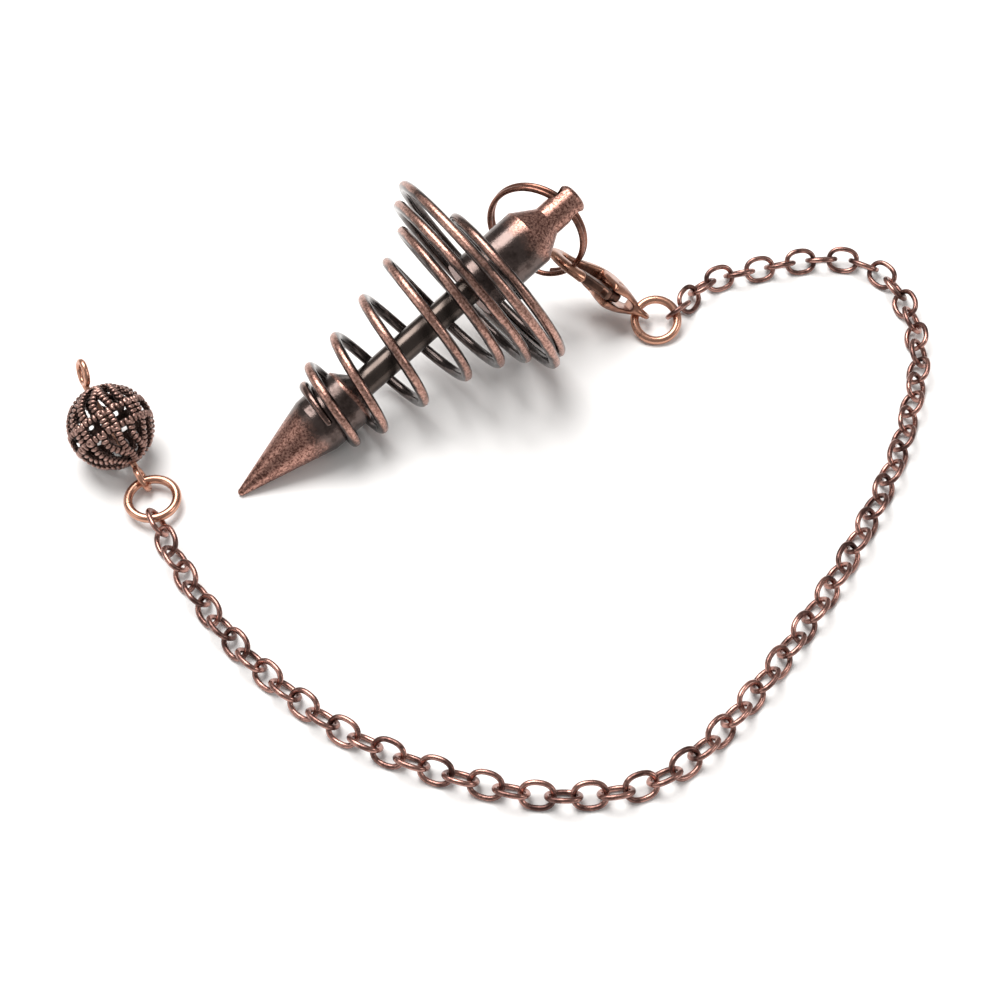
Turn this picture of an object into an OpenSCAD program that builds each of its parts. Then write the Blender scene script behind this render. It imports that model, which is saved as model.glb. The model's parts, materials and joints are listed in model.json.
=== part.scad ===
// Dowsing pendulum: a turned spindle inside a cone of spiral wire, with a split ring through
// its post, a lobster clasp, and a cable chain that ends in a filigree ball.
// It lies on a table, on its point and its widest turns, with +Z up and the table at z = 0.
// The middle of its floor space is the origin.

/* [Tip] */
// Length of the cone
cone_len = 11.6; // [8:0.1:18]
// Diameter of the cone's base and of the barrel above it
tip_d = 6.9; // [5:0.05:9]
// Radius of the rounded point
point_r = 0.45; // [0.2:0.05:0.8]
// Length of the barrel
barrel_len = 5.05; // [4:0.1:8]
// Length of the chamfer between the barrel and the shaft
chamfer_len = 1.45; // [0.4:0.1:2]

/* [Shaft] */
// Diameter of the shaft
shaft_d = 3.2; // [2:0.1:4]
// Length of the shaft that shows between the tip and the cap
shaft_len = 16.6; // [12:0.5:24]
// Depth of the shaft's seat in the tip and in the cap
shaft_seat = 3; // [1:0.5:5]
// Gap all round the shaft in its seats
seat_gap = 0.03; // [0.02:0.01:0.06]

/* [Cap] */
// Diameter of the cap
cap_d = 7.05; // [5:0.05:9]
// Length of the cap below its shoulder
cap_len = 9.1; // [6:0.1:12]
// Length of the sloping shoulder
shoulder_len = 2.7; // [1.5:0.05:4]
// Diameter of the post
post_d = 3.7; // [3.2:0.1:5]
// Length of the post
post_len = 4.5; // [3.6:0.1:7]
// Radius of the post's rounded end
post_round = 0.7; // [0.2:0.05:1]
// Diameter of the post's cross hole
hole_d = 2.25; // [2.2:0.05:2.5]
// Distance from the post's end to the middle of its cross hole
hole_inset = 1.6; // [1.4:0.05:1.9]
// Direction of the cross hole round the spindle, from straight down
hole_angle = 308; // [290:1:320]

/* [Spiral] */
// Diameter of the spiral's wire
spiral_wire = 1.22; // [0.9:0.02:1.3]
// Outside diameter of the widest turn
spiral_d = 28.2; // [22:0.1:32]
// Gap between the wire and the barrel or cap that its ends are wound on
wrap_gap = 0.05; // [0.02:0.01:0.15]
// Distance of the first turn above the cone's base
spiral_foot = 1; // [1:0.1:2.5]
// Distance of the last turn above the cap's lower edge
spiral_head = 4.2; // [3:0.1:6]
// Direction of the wire's start round the spindle, from straight down
spiral_start = 302; // [270:1:330]
// Angle by which the turns lean from square to the spindle
turn_lean = 3.8; // [0:0.1:5]

/* [Split ring] */
// Diameter of the split ring at the middle of its wire
split_d = 11.8; // [11.4:0.1:12.2]
// Diameter of the split ring's wire
split_wire = 0.64; // [0.5:0.02:0.7]
// Gap between the split ring's two turns
split_gap = 0.05; // [0.03:0.01:0.1]
// Angle by which the split ring swings back from the spindle's axis
split_swing = 53.7; // [50:0.1:58]
// Angle by which the split ring tips in the cross hole
split_tip = 7; // [2:0.5:9]
// Place on the split ring that the clasp hooks, from the post
hook_angle = 95; // [88:1:102]

/* [Clasp] */
// Length of the clasp
clasp_len = 15.2; // [14.4:0.1:18]
// Width of the clasp's body
clasp_w = 7.6; // [7:0.1:8.4]
// Greatest thickness of the clasp's body
clasp_t = 3.3; // [2.8:0.1:3.8]
// Thickness of the hook's nose
nose_t = 1.4; // [1.2:0.05:1.8]
// Thickness of the hook's crown, seen from the side
crown = 1.8; // [1.4:0.05:2.2]
// Diameter of the hook's opening
mouth_d = 4.2; // [3.8:0.05:4.6]
// Thickness of the lever
lever_t = 1.2; // [0.8:0.05:1.3]
// Gap on either side of the lever in its slot
lever_gap = 0.1; // [0.05:0.01:0.15]
// Diameter of the lever's pivot pin
pin_d = 0.7; // [0.5:0.05:0.9]
// Gap all round the pin in the lever's bore
pin_gap = 0.04; // [0.02:0.01:0.08]
// Diameter of the hole in the clasp's tail
eye_hole_d = 2; // [1.95:0.05:2.1]
// Outside diameter of the clasp's tail eye
eye_d = 3.15; // [3.05:0.05:3.6]
// Direction in which the clasp points, seen from above
clasp_azimuth = -12; // [-16:1:-4]
// Angle by which the clasp's gate turns from straight up
clasp_roll = 54; // [46:1:60]

/* [Jump rings] */
// Outside diameter of the clasp's jump ring
clasp_ring_d = 6.1; // [5.7:0.05:6.6]
// Outside diameter of the ball's jump ring
ball_ring_d = 6.4; // [6:0.05:6.9]
// Diameter of the jump rings' wire
ring_wire = 1; // [0.8:0.01:1.04]
// Slope at which the clasp's jump ring leans on the clasp
clasp_ring_tilt = 24; // [18:1:30]
// Width of the cut in a jump ring
ring_cut = 0.06; // [0.03:0.01:0.12]

/* [Chain] */
// Number of links
link_count = 68; // [64:1:69]
// Width of a link
link_w = 3.2; // [2.9:0.05:3.4]
// Diameter of a link's wire
link_wire = 0.56; // [0.44:0.01:0.58]
// Gap between the wires of two links where they cross
link_gap = 0.18; // [0.15:0.01:0.2]
// Angle by which every other link leans one way, and the rest the other
link_lean = 45; // [40:1:50]

/* [Ball] */
// Outside diameter of the filigree ball
ball_d = 9.8; // [9:0.1:10.6]
// Diameter of the ball's strands
strand_d = 0.75; // [0.6:0.05:0.9]
// Number of leaves round the ball
leaves = 6; // [5:1:7]
// Gap between the ball's collars and the eye pin
collar_gap = 0.06; // [0.04:0.01:0.12]

/* [Eye pin] */
// Diameter of the eye pin's wire
eye_wire = 0.72; // [0.6:0.02:0.8]
// Width of an eye
loop_w = 3; // [2.95:0.05:3.3]
// Distance that an eye stands out of the ball
loop_out = 3.55; // [3.45:0.05:4]

/* [Hidden] */
$fn = 48;

// Where things lie on the table, seen from above
tip_at = [-29.95, 1.75];
spindle_azimuth = 38.3;
ball_ring_at = [-39.6, 0.1];
// The chain's route from the clasp's ring round to the ball's ring, chosen by hand
ROUTE = [
    [21.1, 29], [22.4, 31], [25.2, 33.2], [30.4, 34.8], [35.6, 36.1], [40.8, 36.4], [44.9, 34.4],
    [47.3, 30], [48.2, 24.6], [47.8, 19], [46.3, 13.6], [44.2, 7.4], [41.6, 1.6], [37.7, -5.8],
    [33.5, -12.8], [29, -19.4], [23.7, -26.3], [18, -32.3], [13, -35.2], [7.8, -36.2],
    [2, -36.1], [-4, -34.6], [-10.2, -32.4], [-17, -29], [-23, -24.4], [-28.4, -19.1],
    [-33, -13.1], [-36.6, -7.2]
];

// Gap between pieces that hang on each other, and how far cutters run past what they cut
clear = 0.1;
end_clear = 0.16;
past = 1;
// Direction, round and up, that the ball's lower eye stands in line with
eye_plane = [-90, 54];

// Stations along the spindle, from its point
tip_len = cone_len + barrel_len + chamfer_len;
cap_at = tip_len + shaft_len;
post_at = cap_at + cap_len + shoulder_len;
spindle_len = post_at + post_len;

// General helpers
function unit(v) = v / norm(v);
function mix(a, b, t) = a + (b - a) * t;
function smooth(t) = t * t * (3 - 2 * t);
function heading(azimuth, rise) =
    [cos(rise) * cos(azimuth), cos(rise) * sin(azimuth), sin(rise)];
// A point on the smooth curve through the points p, where t counts points
function on_curve(p, t) =
    let (
        last = len(p) - 1,
        i = min(floor(t), last - 1),
        u = t - i,
        a = p[max(i - 1, 0)],
        b = p[i],
        c = p[i + 1],
        d = p[min(i + 2, last)]
    )
    0.5 * (2 * b + (c - a) * u + (2 * a - 5 * b + 4 * c - d) * u * u
        + (3 * b - a - 3 * c + d) * u * u * u);

// Puts a piece at a point, with its own x and z axes along two directions
module stand(at, x_dir, z_dir) {
    z = unit(z_dir);
    y = unit(cross(z, x_dir));
    x = cross(y, z);
    multmatrix([
        [x[0], y[0], z[0], at[0]],
        [x[1], y[1], z[1], at[1]],
        [x[2], y[2], z[2], at[2]]
    ]) children();
}

// A round wire along a path that never runs parallel to z
module wire(path, d, sides) {
    last = len(path) - 1;
    function along(i) = unit(path[min(i + 1, last)] - path[max(i - 1, 0)]);
    function across(i) = unit(cross([0, 0, 1], along(i)));
    points = [
        for (i = [0 : last])
            let (u = across(i), v = cross(along(i), u))
                for (k = [0 : sides - 1])
                    path[i] + d / 2 * (cos(360 * k / sides) * u + sin(360 * k / sides) * v)
    ];
    side_faces = [
        for (i = [0 : last - 1])
            for (k = [0 : sides - 1])
                let (
                    a = i * sides + k,
                    b = i * sides + (k + 1) % sides
                )
                each [[a, a + sides, b], [b, a + sides, b + sides]]
    ];
    start_face = [for (k = [0 : sides - 1]) k];
    end_face = [for (k = [sides - 1 : -1 : 0]) last * sides + k];
    polyhedron(points, concat(side_faces, [start_face, end_face]), convexity = 10);
}

// The spiral's path in the spindle's own frame, with x down, z along the axis.
// A row is half a turn: its station between the first and last turn, and how far its
// radius has swelled from the wrapped ends to the widest turn, both as shares
STATION = 0;
SWELL = 1;
SPIRAL_ROWS = [
    [0, 0], [0.032, 0], [0.042, 0.01], [0.103, 0.13], [0.168, 0.11], [0.27, 0.195], [0.374, 0.19],
    [0.468, 0.31], [0.587, 0.305], [0.647, 0.45], [0.732, 0.45], [0.783, 0.61], [0.834, 0.62],
    [0.843, 0.869], [0.912, 0.9], [0.913, 1], [0.968, 0.84], [0.987, 0.29], [1, 0]
];
spiral_steps = 12;
first_step = 5;
lean_at = 48;
half_turns = len(SPIRAL_ROWS) - 1;
spiral_max_r = spiral_d / 2 - spiral_wire / 2;
function wrap_r(d) = d / 2 + spiral_wire / 2 + wrap_gap;
function spiral_point(t) =
    let (
        row = on_curve(SPIRAL_ROWS, t),
        share = max(0, min(1, row[STATION])),
        swell = max(0, row[SWELL]),
        wrapped = mix(wrap_r(tip_d), wrap_r(cap_d), share),
        r = mix(wrapped, spiral_max_r, swell),
        angle = spiral_start - 180 * t,
        level = mix(cone_len + spiral_foot, cap_at + spiral_head, share),
        lean = r * tan(turn_lean) * cos(angle - lean_at)
    )
    [r * cos(angle), r * sin(angle), level + lean];
SPIRAL_PATH = [for (i = [first_step : half_turns * spiral_steps]) spiral_point(i / spiral_steps)];

// The spindle rises until the spiral's lowest point is on the table with the point
function touch_rise(p) =
    let (ahead = p[2] - point_r)
    atan2(p[0], ahead) + asin((spiral_wire / 2 - point_r) / norm([ahead, p[0]]));
spindle_rise = max([for (p = SPIRAL_PATH) touch_rise(p)]);
axis_dir = heading(spindle_azimuth, spindle_rise);
down_dir = heading(spindle_azimuth, spindle_rise - 90);
left_dir = heading(spindle_azimuth + 90, 0);
function round_axis(angle) = cos(angle) * down_dir + sin(angle) * left_dir;
function on_axis(station) = [tip_at[0], tip_at[1], point_r] + (station - point_r) * axis_dir;

module on_spindle() {
    stand(on_axis(0), down_dir, axis_dir) children();
}

module tip() {
    base_r = tip_d / 2;
    reach = norm([base_r, cone_len - point_r]);
    slope = atan2(base_r, cone_len - point_r) - asin(point_r / reach);
    cone_from = point_r * (1 - sin(slope));
    barrel_end = cone_len + barrel_len;
    seat_r = shaft_d / 2 + seat_gap;
    lip = 0.2;
    tuck = 0.96;
    color("#b5694a") on_spindle() difference() {
        union() {
            translate([0, 0, point_r]) sphere(r = point_r);
            rotate_extrude() polygon([
                [0, cone_from], [tuck * point_r * cos(slope), cone_from], [base_r, cone_len],
                [base_r, barrel_end], [seat_r + lip, tip_len], [0, tip_len]
            ]);
        }
        translate([0, 0, tip_len - shaft_seat]) cylinder(r = seat_r, h = shaft_seat + past);
    }
}

module shaft() {
    color("#2e2724") on_spindle() translate([0, 0, tip_len - shaft_seat + seat_gap])
        cylinder(d = shaft_d, h = shaft_len + 2 * (shaft_seat - seat_gap));
}

// Half outline of a round post with a rounded end
module post_outline() {
    square([post_d / 2, post_len - post_round]);
    square([post_d / 2 - post_round, post_len]);
    translate([post_d / 2 - post_round, post_len - post_round]) circle(r = post_round);
}

module cap() {
    color("#a8664c") on_spindle() difference() {
        union() {
            translate([0, 0, cap_at]) cylinder(d = cap_d, h = cap_len);
            translate([0, 0, cap_at + cap_len]) cylinder(d1 = cap_d, d2 = post_d, h = shoulder_len);
            translate([0, 0, post_at]) rotate_extrude() post_outline();
        }
        translate([0, 0, cap_at - past])
            cylinder(d = shaft_d + 2 * seat_gap, h = shaft_seat + past);
        translate([0, 0, spindle_len - hole_inset])
            rotate([0, 90, hole_angle])
                cylinder(d = hole_d, h = cap_d, center = true);
    }
}

module spiral() {
    color("#b06a4c") on_spindle() wire(SPIRAL_PATH, spiral_wire, 8);
}

// The split ring hangs from the middle of the cross hole and swings back from the axis
split_r = split_d / 2;
split_in = cos(split_tip) * round_axis(hole_angle) + sin(split_tip) * axis_dir;
split_side = unit(cross(cross(split_in, round_axis(hole_angle + 90)), split_in));
split_down = sin(split_swing) * split_side + cos(split_swing) * cross(split_side, split_in);
split_at = on_axis(spindle_len - hole_inset) + split_r * split_down;
split_face = cross(split_in, split_down);
function on_split_ring(angle) =
    split_at + split_r * (sin(angle) * split_in - cos(angle) * split_down);

// Two turns of wire side by side, with the step from one to the other on the far side
module split_ring() {
    step_at = 150;
    step_half = 22;
    sections = 64;
    one_turn = 360;
    from = step_half;
    to = 2 * one_turn - step_half;
    side = (split_wire + split_gap) / 2;
    function step_share(turned) =
        smooth(max(0, min(1, (turned - one_turn + step_half) / (2 * step_half))));
    path = [
        for (i = [0 : sections])
            let (turned = mix(from, to, i / sections), angle = step_at + turned)
            [split_r * cos(angle), split_r * sin(angle), mix(-side, side, step_share(turned))]
    ];
    color("#9c6248") stand(split_at, -split_down, split_face) wire(path, split_wire, 8);
}

// The clasp's own frame: x from the hook to the tail, y towards the gate, z across.
// Its hook hangs on the split ring, and its tail comes down to the jump ring's wire
body_r = clasp_w / 2;
mouth_x = crown + mouth_d / 2;
seat_r = 0.7;
seat_angle = 150;
seat_x = mouth_x + seat_r * cos(seat_angle);
seat_y = seat_r * sin(seat_angle);
eye_x = clasp_len - eye_d / 2;
tail_x = eye_x - 0.2;
tail_y = -0.1;
clasp_ring_r = (clasp_ring_d - ring_wire) / 2;
clasp_eye_angle = 150;
chain_angle = 24;
function ring_height(angle) =
    ring_wire / 2 + clasp_ring_r * sin(clasp_ring_tilt) * (1 + sin(angle));
hook_at = on_split_ring(hook_angle);
clasp_reach = [tail_x - seat_x, (seat_y - tail_y) * cos(clasp_roll)];
clasp_dip = asin((hook_at[2] - ring_height(clasp_eye_angle)) / norm(clasp_reach))
    - atan2(clasp_reach[1], clasp_reach[0]);
clasp_dir = heading(clasp_azimuth, -clasp_dip);
clasp_gate = cos(clasp_roll) * heading(clasp_azimuth, 90 - clasp_dip)
    + sin(clasp_roll) * heading(clasp_azimuth - 90, 0);
clasp_at = hook_at - seat_x * clasp_dir - seat_y * clasp_gate;

module in_clasp() {
    stand(clasp_at, clasp_dir, cross(clasp_dir, clasp_gate)) children();
}

// Places in the clasp that the body and the lever share
mouth_r = mouth_d / 2;
nose_x = mouth_x + 1;
nose_slant = 0.7;
nose_gap = 0.13;
throat_x = mouth_x + 3.6;
boss_r = 0.9;
pivot_x = clasp_len - 5.8;
pivot_y = 1;
slot_end_x = eye_x - eye_hole_d / 2 - 0.4;
slot_floor_y = 0.6 - mouth_r;
slot_t = lever_t + 2 * lever_gap;

module clasp_outline() {
    shoulder_x = mouth_x + 3.6;
    neck_r = 1.6;
    translate([body_r, 0]) circle(r = body_r);
    polygon([
        [body_r, -body_r], [shoulder_x, -body_r + 0.25], [slot_end_x, -neck_r],
        [eye_x, -eye_d / 2], [eye_x, eye_d / 2], [slot_end_x, neck_r],
        [shoulder_x, body_r - 0.25], [body_r, body_r]
    ]);
    translate([eye_x, 0]) circle(d = eye_d);
}

// From the gate's side: a slab as thick as the nose, with a bulge round the lever
module clasp_thickness() {
    bulge_r = 9;
    bulge_x = clasp_len - 6.7;
    bulge_z = bulge_r - clasp_t / 2;
    long = 2 * clasp_len;
    cube([2 * long, long, nose_t], center = true);
    rotate([90, 0, 0]) intersection() {
        translate([bulge_x, bulge_z, 0]) cylinder(r = bulge_r, h = long, center = true);
        translate([bulge_x, -bulge_z, 0]) cylinder(r = bulge_r, h = long, center = true);
    }
}

// The way into the mouth, from the slanted end of the nose to the walls round the lever
module gate_gap() {
    above = body_r + 1;
    polygon([
        [nose_x - nose_slant, 0], [nose_x - nose_slant, mouth_r], [nose_x, above],
        [throat_x + 1.4, above], [throat_x, 0]
    ]);
}

module clasp_body() {
    deep = 2 * clasp_t;
    color("#a9694a") in_clasp() difference() {
        intersection() {
            linear_extrude(deep, center = true) clasp_outline();
            clasp_thickness();
        }
        translate([mouth_x, 0, 0]) cylinder(d = mouth_d, h = deep, center = true);
        translate([mouth_x, 0.5 - mouth_r, -deep / 2])
            cube([throat_x - mouth_x, mouth_d - 0.5, deep]);
        linear_extrude(deep, center = true) gate_gap();
        // The slot that the lever turns in, open through the back at its tail end
        translate([nose_x, slot_floor_y, -slot_t / 2])
            cube([slot_end_x - nose_x, clasp_w, slot_t]);
        translate([pivot_x - boss_r, -clasp_w, -slot_t / 2])
            cube([slot_end_x - pivot_x + boss_r, 2 * clasp_w, slot_t]);
        translate([eye_x, 0, 0]) cylinder(d = eye_hole_d, h = deep, center = true);
        translate([pivot_x, pivot_y, 0]) cylinder(d = pin_d + 0.04, h = deep, center = true);
    }
}

// The gate: a bar from its pivot to just under the hook's nose, with a thumb tab
module lever_bar() {
    top_y = body_r - 0.9;
    under_y = mouth_r - nose_gap;
    tab_y = body_r + 0.1;
    toe = 0.35;
    toe_x = nose_x - nose_slant - toe;
    face_x = nose_x - nose_slant + nose_gap + 0.05;
    face_slope = nose_slant / (body_r + 1 - mouth_r);
    function in_boss(angle) = [pivot_x, pivot_y] + 0.95 * boss_r * [cos(angle), sin(angle)];
    polygon([
        [toe_x, under_y - 0.6], [toe_x, under_y], [face_x, under_y],
        [face_x + face_slope * (top_y - under_y), top_y], [nose_x + 2.2, tab_y - 0.7],
        [nose_x + 2.7, tab_y], [nose_x + 3.3, tab_y - 0.2], [nose_x + 3.7, top_y],
        in_boss(55), in_boss(235), [nose_x + 1.2, under_y - 1.1]
    ]);
}

module clasp_lever() {
    color("#5f4233") in_clasp() difference() {
        union() {
            linear_extrude(lever_t, center = true) lever_bar();
            translate([pivot_x, pivot_y, 0]) cylinder(r = boss_r, h = lever_t, center = true);
        }
        translate([pivot_x, pivot_y, 0])
            cylinder(d = pin_d + 2 * pin_gap, h = clasp_t, center = true);
    }
}

module clasp_pin() {
    color("#8b5b45") in_clasp() translate([pivot_x, pivot_y, 0])
        cylinder(d = pin_d, h = clasp_t - 0.5, center = true);
}

// An open ring of round wire with a fine cut at an angle round it
module jump_ring(d, cut_at) {
    r = (d - ring_wire) / 2;
    cut_turn = ring_cut / r * 180 / PI;
    rotate([0, 0, cut_at + cut_turn / 2]) rotate_extrude(angle = 360 - cut_turn)
        translate([r, 0]) circle(d = ring_wire);
}

// The clasp's jump ring leans up from the table, with the clasp's tail over its wire
function on_clasp_ring(angle) = clasp_ring_r
    * [cos(angle), sin(angle) * cos(clasp_ring_tilt), sin(angle) * sin(clasp_ring_tilt)];
clasp_ring_at =
    clasp_at + tail_x * clasp_dir + tail_y * clasp_gate - on_clasp_ring(clasp_eye_angle);
clasp_ring_cut = 225;

module clasp_ring() {
    color("#c98a63") stand(clasp_ring_at, [1, 0, 0], [0, -sin(clasp_ring_tilt), cos(clasp_ring_tilt)])
        jump_ring(clasp_ring_d, clasp_ring_cut);
}

// The ball's jump ring is level, held up by the eye and the last link that pass through it.
// The eye leans a little from upright, with its edge on the table
ball_ring_r = (ball_ring_d - ring_wire) / 2;
eye_side = heading(eye_plane[0], eye_plane[1]);
eye_upright = 0.93;
ball_ring_z = eye_upright * loop_w / 2;
ball_eye_angle = 117;
last_link_angle = 283;
function on_ball_ring(angle) =
    [ball_ring_at[0], ball_ring_at[1], ball_ring_z] + ball_ring_r * heading(angle, 0);
ball_ring_cut = 200;

module ball_ring() {
    color("#c98a63") translate([ball_ring_at[0], ball_ring_at[1], ball_ring_z])
        jump_ring(ball_ring_d, ball_ring_cut);
}

// The chain: links of equal pitch along the route, leaning left and right in turn.
// The first and the last link hang on the jump rings
end_lean = link_lean + 15;
function lean_of(k) =
    (k % 2 == 0 ? 1 : -1) * (k == 0 || k == link_count - 1 ? end_lean : link_lean);
function rest_height(lean) = (link_w - link_wire) / 2 * abs(sin(lean)) + link_wire / 2;
route_points = concat(
    [clasp_ring_at + on_clasp_ring(chain_angle)],
    [for (p = ROUTE) [p[0], p[1], rest_height(link_lean)]],
    [on_ball_ring(last_link_angle)]
);
samples_per_span = 12;
sample_count = (len(route_points) - 1) * samples_per_span;
SAMPLES = [
    for (i = [0 : sample_count])
        let (p = on_curve(route_points, i / samples_per_span))
            [p[0], p[1], max(p[2], rest_height(link_lean))]
];
LENGTHS = [
    for (i = 0, run = 0; i <= sample_count;
        run = run + (i < sample_count ? norm(SAMPLES[i + 1] - SAMPLES[i]) : 0), i = i + 1)
    run
];
route_len = LENGTHS[sample_count];
function sample_before(run, i = 0) =
    i >= sample_count - 1 || LENGTHS[i + 1] > run ? i : sample_before(run, i + 1);
function on_route(run) =
    let (
        i = sample_before(run),
        u = (run - LENGTHS[i]) / (LENGTHS[i + 1] - LENGTHS[i])
    )
    mix(SAMPLES[i], SAMPLES[i + 1], u);

// A link hangs on a ring's wire by its inner end, a little clear of it, so the pitch and the
// link's length follow from the route's length
link_overlap = link_wire + link_gap;
first_run =
    (route_len / link_count + link_overlap) / 2 - link_wire / 2 - ring_wire / 2 - end_clear;
pitch = (route_len - 2 * first_run) / (link_count - 1);
link_len = pitch + link_overlap + link_wire;

module link() {
    bend = (link_w - link_wire) / 2;
    // Half a straight is a whole count of fine steps, so that it meets the bends exactly
    fine = 0.001;
    half_straight = fine * round((link_len - link_w) / 2 / fine);
    for (turn = [0, 180]) {
        rotate([0, 0, turn]) {
            translate([half_straight, 0, 0]) rotate([0, 0, -90])
                rotate_extrude(angle = 180) translate([bend, 0]) circle(d = link_wire);
            translate([0, bend, 0]) rotate([0, 90, 0])
                cylinder(d = link_wire, h = 2 * half_straight, center = true);
        }
    }
}

module chain() {
    color("#8a5848") for (k = [0 : link_count - 1]) {
        run = first_run + k * pitch;
        near = on_route(max(run - pitch / 2, 0));
        far = on_route(min(run + pitch / 2, route_len));
        along = unit(far - near);
        side = unit(cross([0, 0, 1], along));
        up = cross(along, side);
        lean = lean_of(k);
        middle = on_route(run);
        slope_drop = (link_len - link_w) / 2 * abs(along[2]);
        lifted = [middle[0], middle[1], max(middle[2], rest_height(lean) + slope_drop)];
        stand(lifted, along, cos(lean) * up + sin(lean) * side) link();
    }
}

// The ball rests on the table, and its pin slopes down to the jump ring's wire
ball_r = ball_d / 2;
pin_reach = ball_r + loop_out - eye_wire - ring_wire / 2 - clear;
eye_at = on_ball_ring(ball_eye_angle);
pin_azimuth = 127;
pin_rise = asin((ball_r - eye_at[2]) / pin_reach);
pin_dir = heading(pin_azimuth, pin_rise);
ball_at = eye_at + pin_reach * pin_dir;
net_r = ball_r - strand_d / 2;
collar_sides = 8;
collar_r = ((strand_d + eye_wire) / 2 + collar_gap) / cos(180 / collar_sides);
collar_lat = acos(collar_r / net_r);

module in_ball() {
    stand(ball_at, eye_side, pin_dir) children();
}

// A long eye in the x and z plane, from a starting height to a top height
module eye(from, to) {
    bend = (loop_w - eye_wire) / 2;
    low = from + bend + eye_wire / 2;
    high = to - bend - eye_wire / 2;
    for (x = [-bend, bend]) translate([x, 0, low]) cylinder(d = eye_wire, h = high - low);
    translate([0, 0, high]) rotate([90, 0, 0])
        rotate_extrude(angle = 180) translate([bend, 0]) circle(d = eye_wire);
    translate([0, 0, low]) rotate([-90, 0, 0])
        rotate_extrude(angle = 180) translate([bend, 0]) circle(d = eye_wire);
}

// A straight wire through the ball with an eye at each end, outside the collars
module eye_pin() {
    from = ball_r + 0.2;
    to = ball_r + loop_out;
    upper_turn = 27;
    upper_lean = 16;
    color("#a8674a") in_ball() {
        cylinder(d = eye_wire, h = 2 * from + eye_wire, center = true);
        translate([0, 0, ball_r]) rotate([-upper_lean, 0, 0])
            translate([0, 0, -ball_r]) rotate([0, 0, upper_turn]) eye(from, to);
        rotate([180, 0, 0]) eye(from, to);
    }
}

function on_net(lon, lat) = net_r * heading(lon, lat);

// A strand of the net: a run of straight stretches over the ball's surface between two
// places, bowed sideways in the middle
module strand(from, to, bow, stretches) {
    function place(i) =
        let (u = i / stretches)
        on_net(mix(from[0], to[0], u) + bow * sin(180 * u), mix(from[1], to[1], u));
    for (i = [0 : stretches - 1]) {
        hull() {
            translate(place(i)) sphere(d = strand_d, $fn = 6);
            translate(place(i + 1)) sphere(d = strand_d, $fn = 6);
        }
    }
}

// A closed round strand at one latitude
module round_strand(lat, sides) {
    for (i = [0 : sides - 1]) {
        hull() {
            translate(on_net(360 * i / sides, lat)) sphere(d = strand_d, $fn = 6);
            translate(on_net(360 * (i + 1) / sides, lat)) sphere(d = strand_d, $fn = 6);
        }
    }
}

// Leaves from either collar to the middle, each with its rib, and a round strand between
module filigree_ball() {
    leaf = 360 / leaves;
    belt_lat = 3;
    color("#7d5244") in_ball() {
        for (half = [-1, 1]) {
            round_strand(half * collar_lat, collar_sides);
            for (k = [0 : leaves - 1]) {
                lon = leaf * (k + (half > 0 ? 0.5 : 0));
                strand([lon, half * collar_lat], [lon + leaf / 2, half * belt_lat], 0.12 * leaf, 4);
                strand([lon, half * collar_lat], [lon - leaf / 2, half * belt_lat], 0.3 * leaf, 4);
                strand([lon, half * 46], [lon + leaf * 0.08, half * belt_lat], -0.1 * leaf, 3);
            }
        }
        round_strand(0, 20);
    }
}

tip();
shaft();
cap();
spiral();
split_ring();
clasp_body();
clasp_lever();
clasp_pin();
clasp_ring();
chain();
ball_ring();
eye_pin();
filigree_ball();
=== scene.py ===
"""A dowsing pendulum of antiqued copper, lying on a pale table under soft studio light.

The spiral, the split ring, the clasp, the chain and the filigree ball are drawn here in finer pieces
on the places of their solids, and the other solids are dressed as they are.  Lengths are in
millimetres until a mesh is made, in the frame of the solids.
"""

from __future__ import annotations

import json
import logging
import math
import random
from dataclasses import dataclass, field
from enum import Enum
from typing import Callable, Iterable, Sequence

import bmesh
import bpy
import numpy as np
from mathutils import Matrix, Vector

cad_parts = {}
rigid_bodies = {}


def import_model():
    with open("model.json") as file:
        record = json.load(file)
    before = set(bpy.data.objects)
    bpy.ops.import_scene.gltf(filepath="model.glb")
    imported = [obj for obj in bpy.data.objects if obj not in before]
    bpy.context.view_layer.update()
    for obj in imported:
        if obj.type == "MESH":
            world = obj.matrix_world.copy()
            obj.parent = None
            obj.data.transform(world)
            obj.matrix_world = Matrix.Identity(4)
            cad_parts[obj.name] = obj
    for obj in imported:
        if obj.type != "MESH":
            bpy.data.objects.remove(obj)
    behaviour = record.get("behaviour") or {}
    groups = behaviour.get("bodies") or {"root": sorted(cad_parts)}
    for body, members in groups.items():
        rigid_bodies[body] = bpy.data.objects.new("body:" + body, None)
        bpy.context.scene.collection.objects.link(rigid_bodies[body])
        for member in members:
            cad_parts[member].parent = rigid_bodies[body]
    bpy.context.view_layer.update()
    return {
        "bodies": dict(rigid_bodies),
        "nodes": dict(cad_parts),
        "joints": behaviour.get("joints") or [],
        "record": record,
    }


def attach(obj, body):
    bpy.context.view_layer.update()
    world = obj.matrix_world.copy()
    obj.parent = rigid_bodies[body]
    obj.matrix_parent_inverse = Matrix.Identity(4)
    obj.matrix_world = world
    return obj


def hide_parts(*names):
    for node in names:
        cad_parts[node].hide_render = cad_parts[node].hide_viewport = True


MM = 0.001
BODY = "pendulum"
LEVER = "lever"
Pair = tuple[float, float]
Triple = tuple[float, float, float]
Socket = bpy.types.NodeSocket
Object = bpy.types.Object
log = logging.getLogger("pendulum")


def vec(x: float, y: float, z: float) -> np.ndarray:
    """A vector of three floats."""
    return np.array([x, y, z], float)


def unit(v: np.ndarray) -> np.ndarray:
    """The vector at length one."""
    return v / np.linalg.norm(v)


def units(rows: np.ndarray) -> np.ndarray:
    """Each of the vectors at length one."""
    return rows / np.linalg.norm(rows, axis=1)[:, None]


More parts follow.
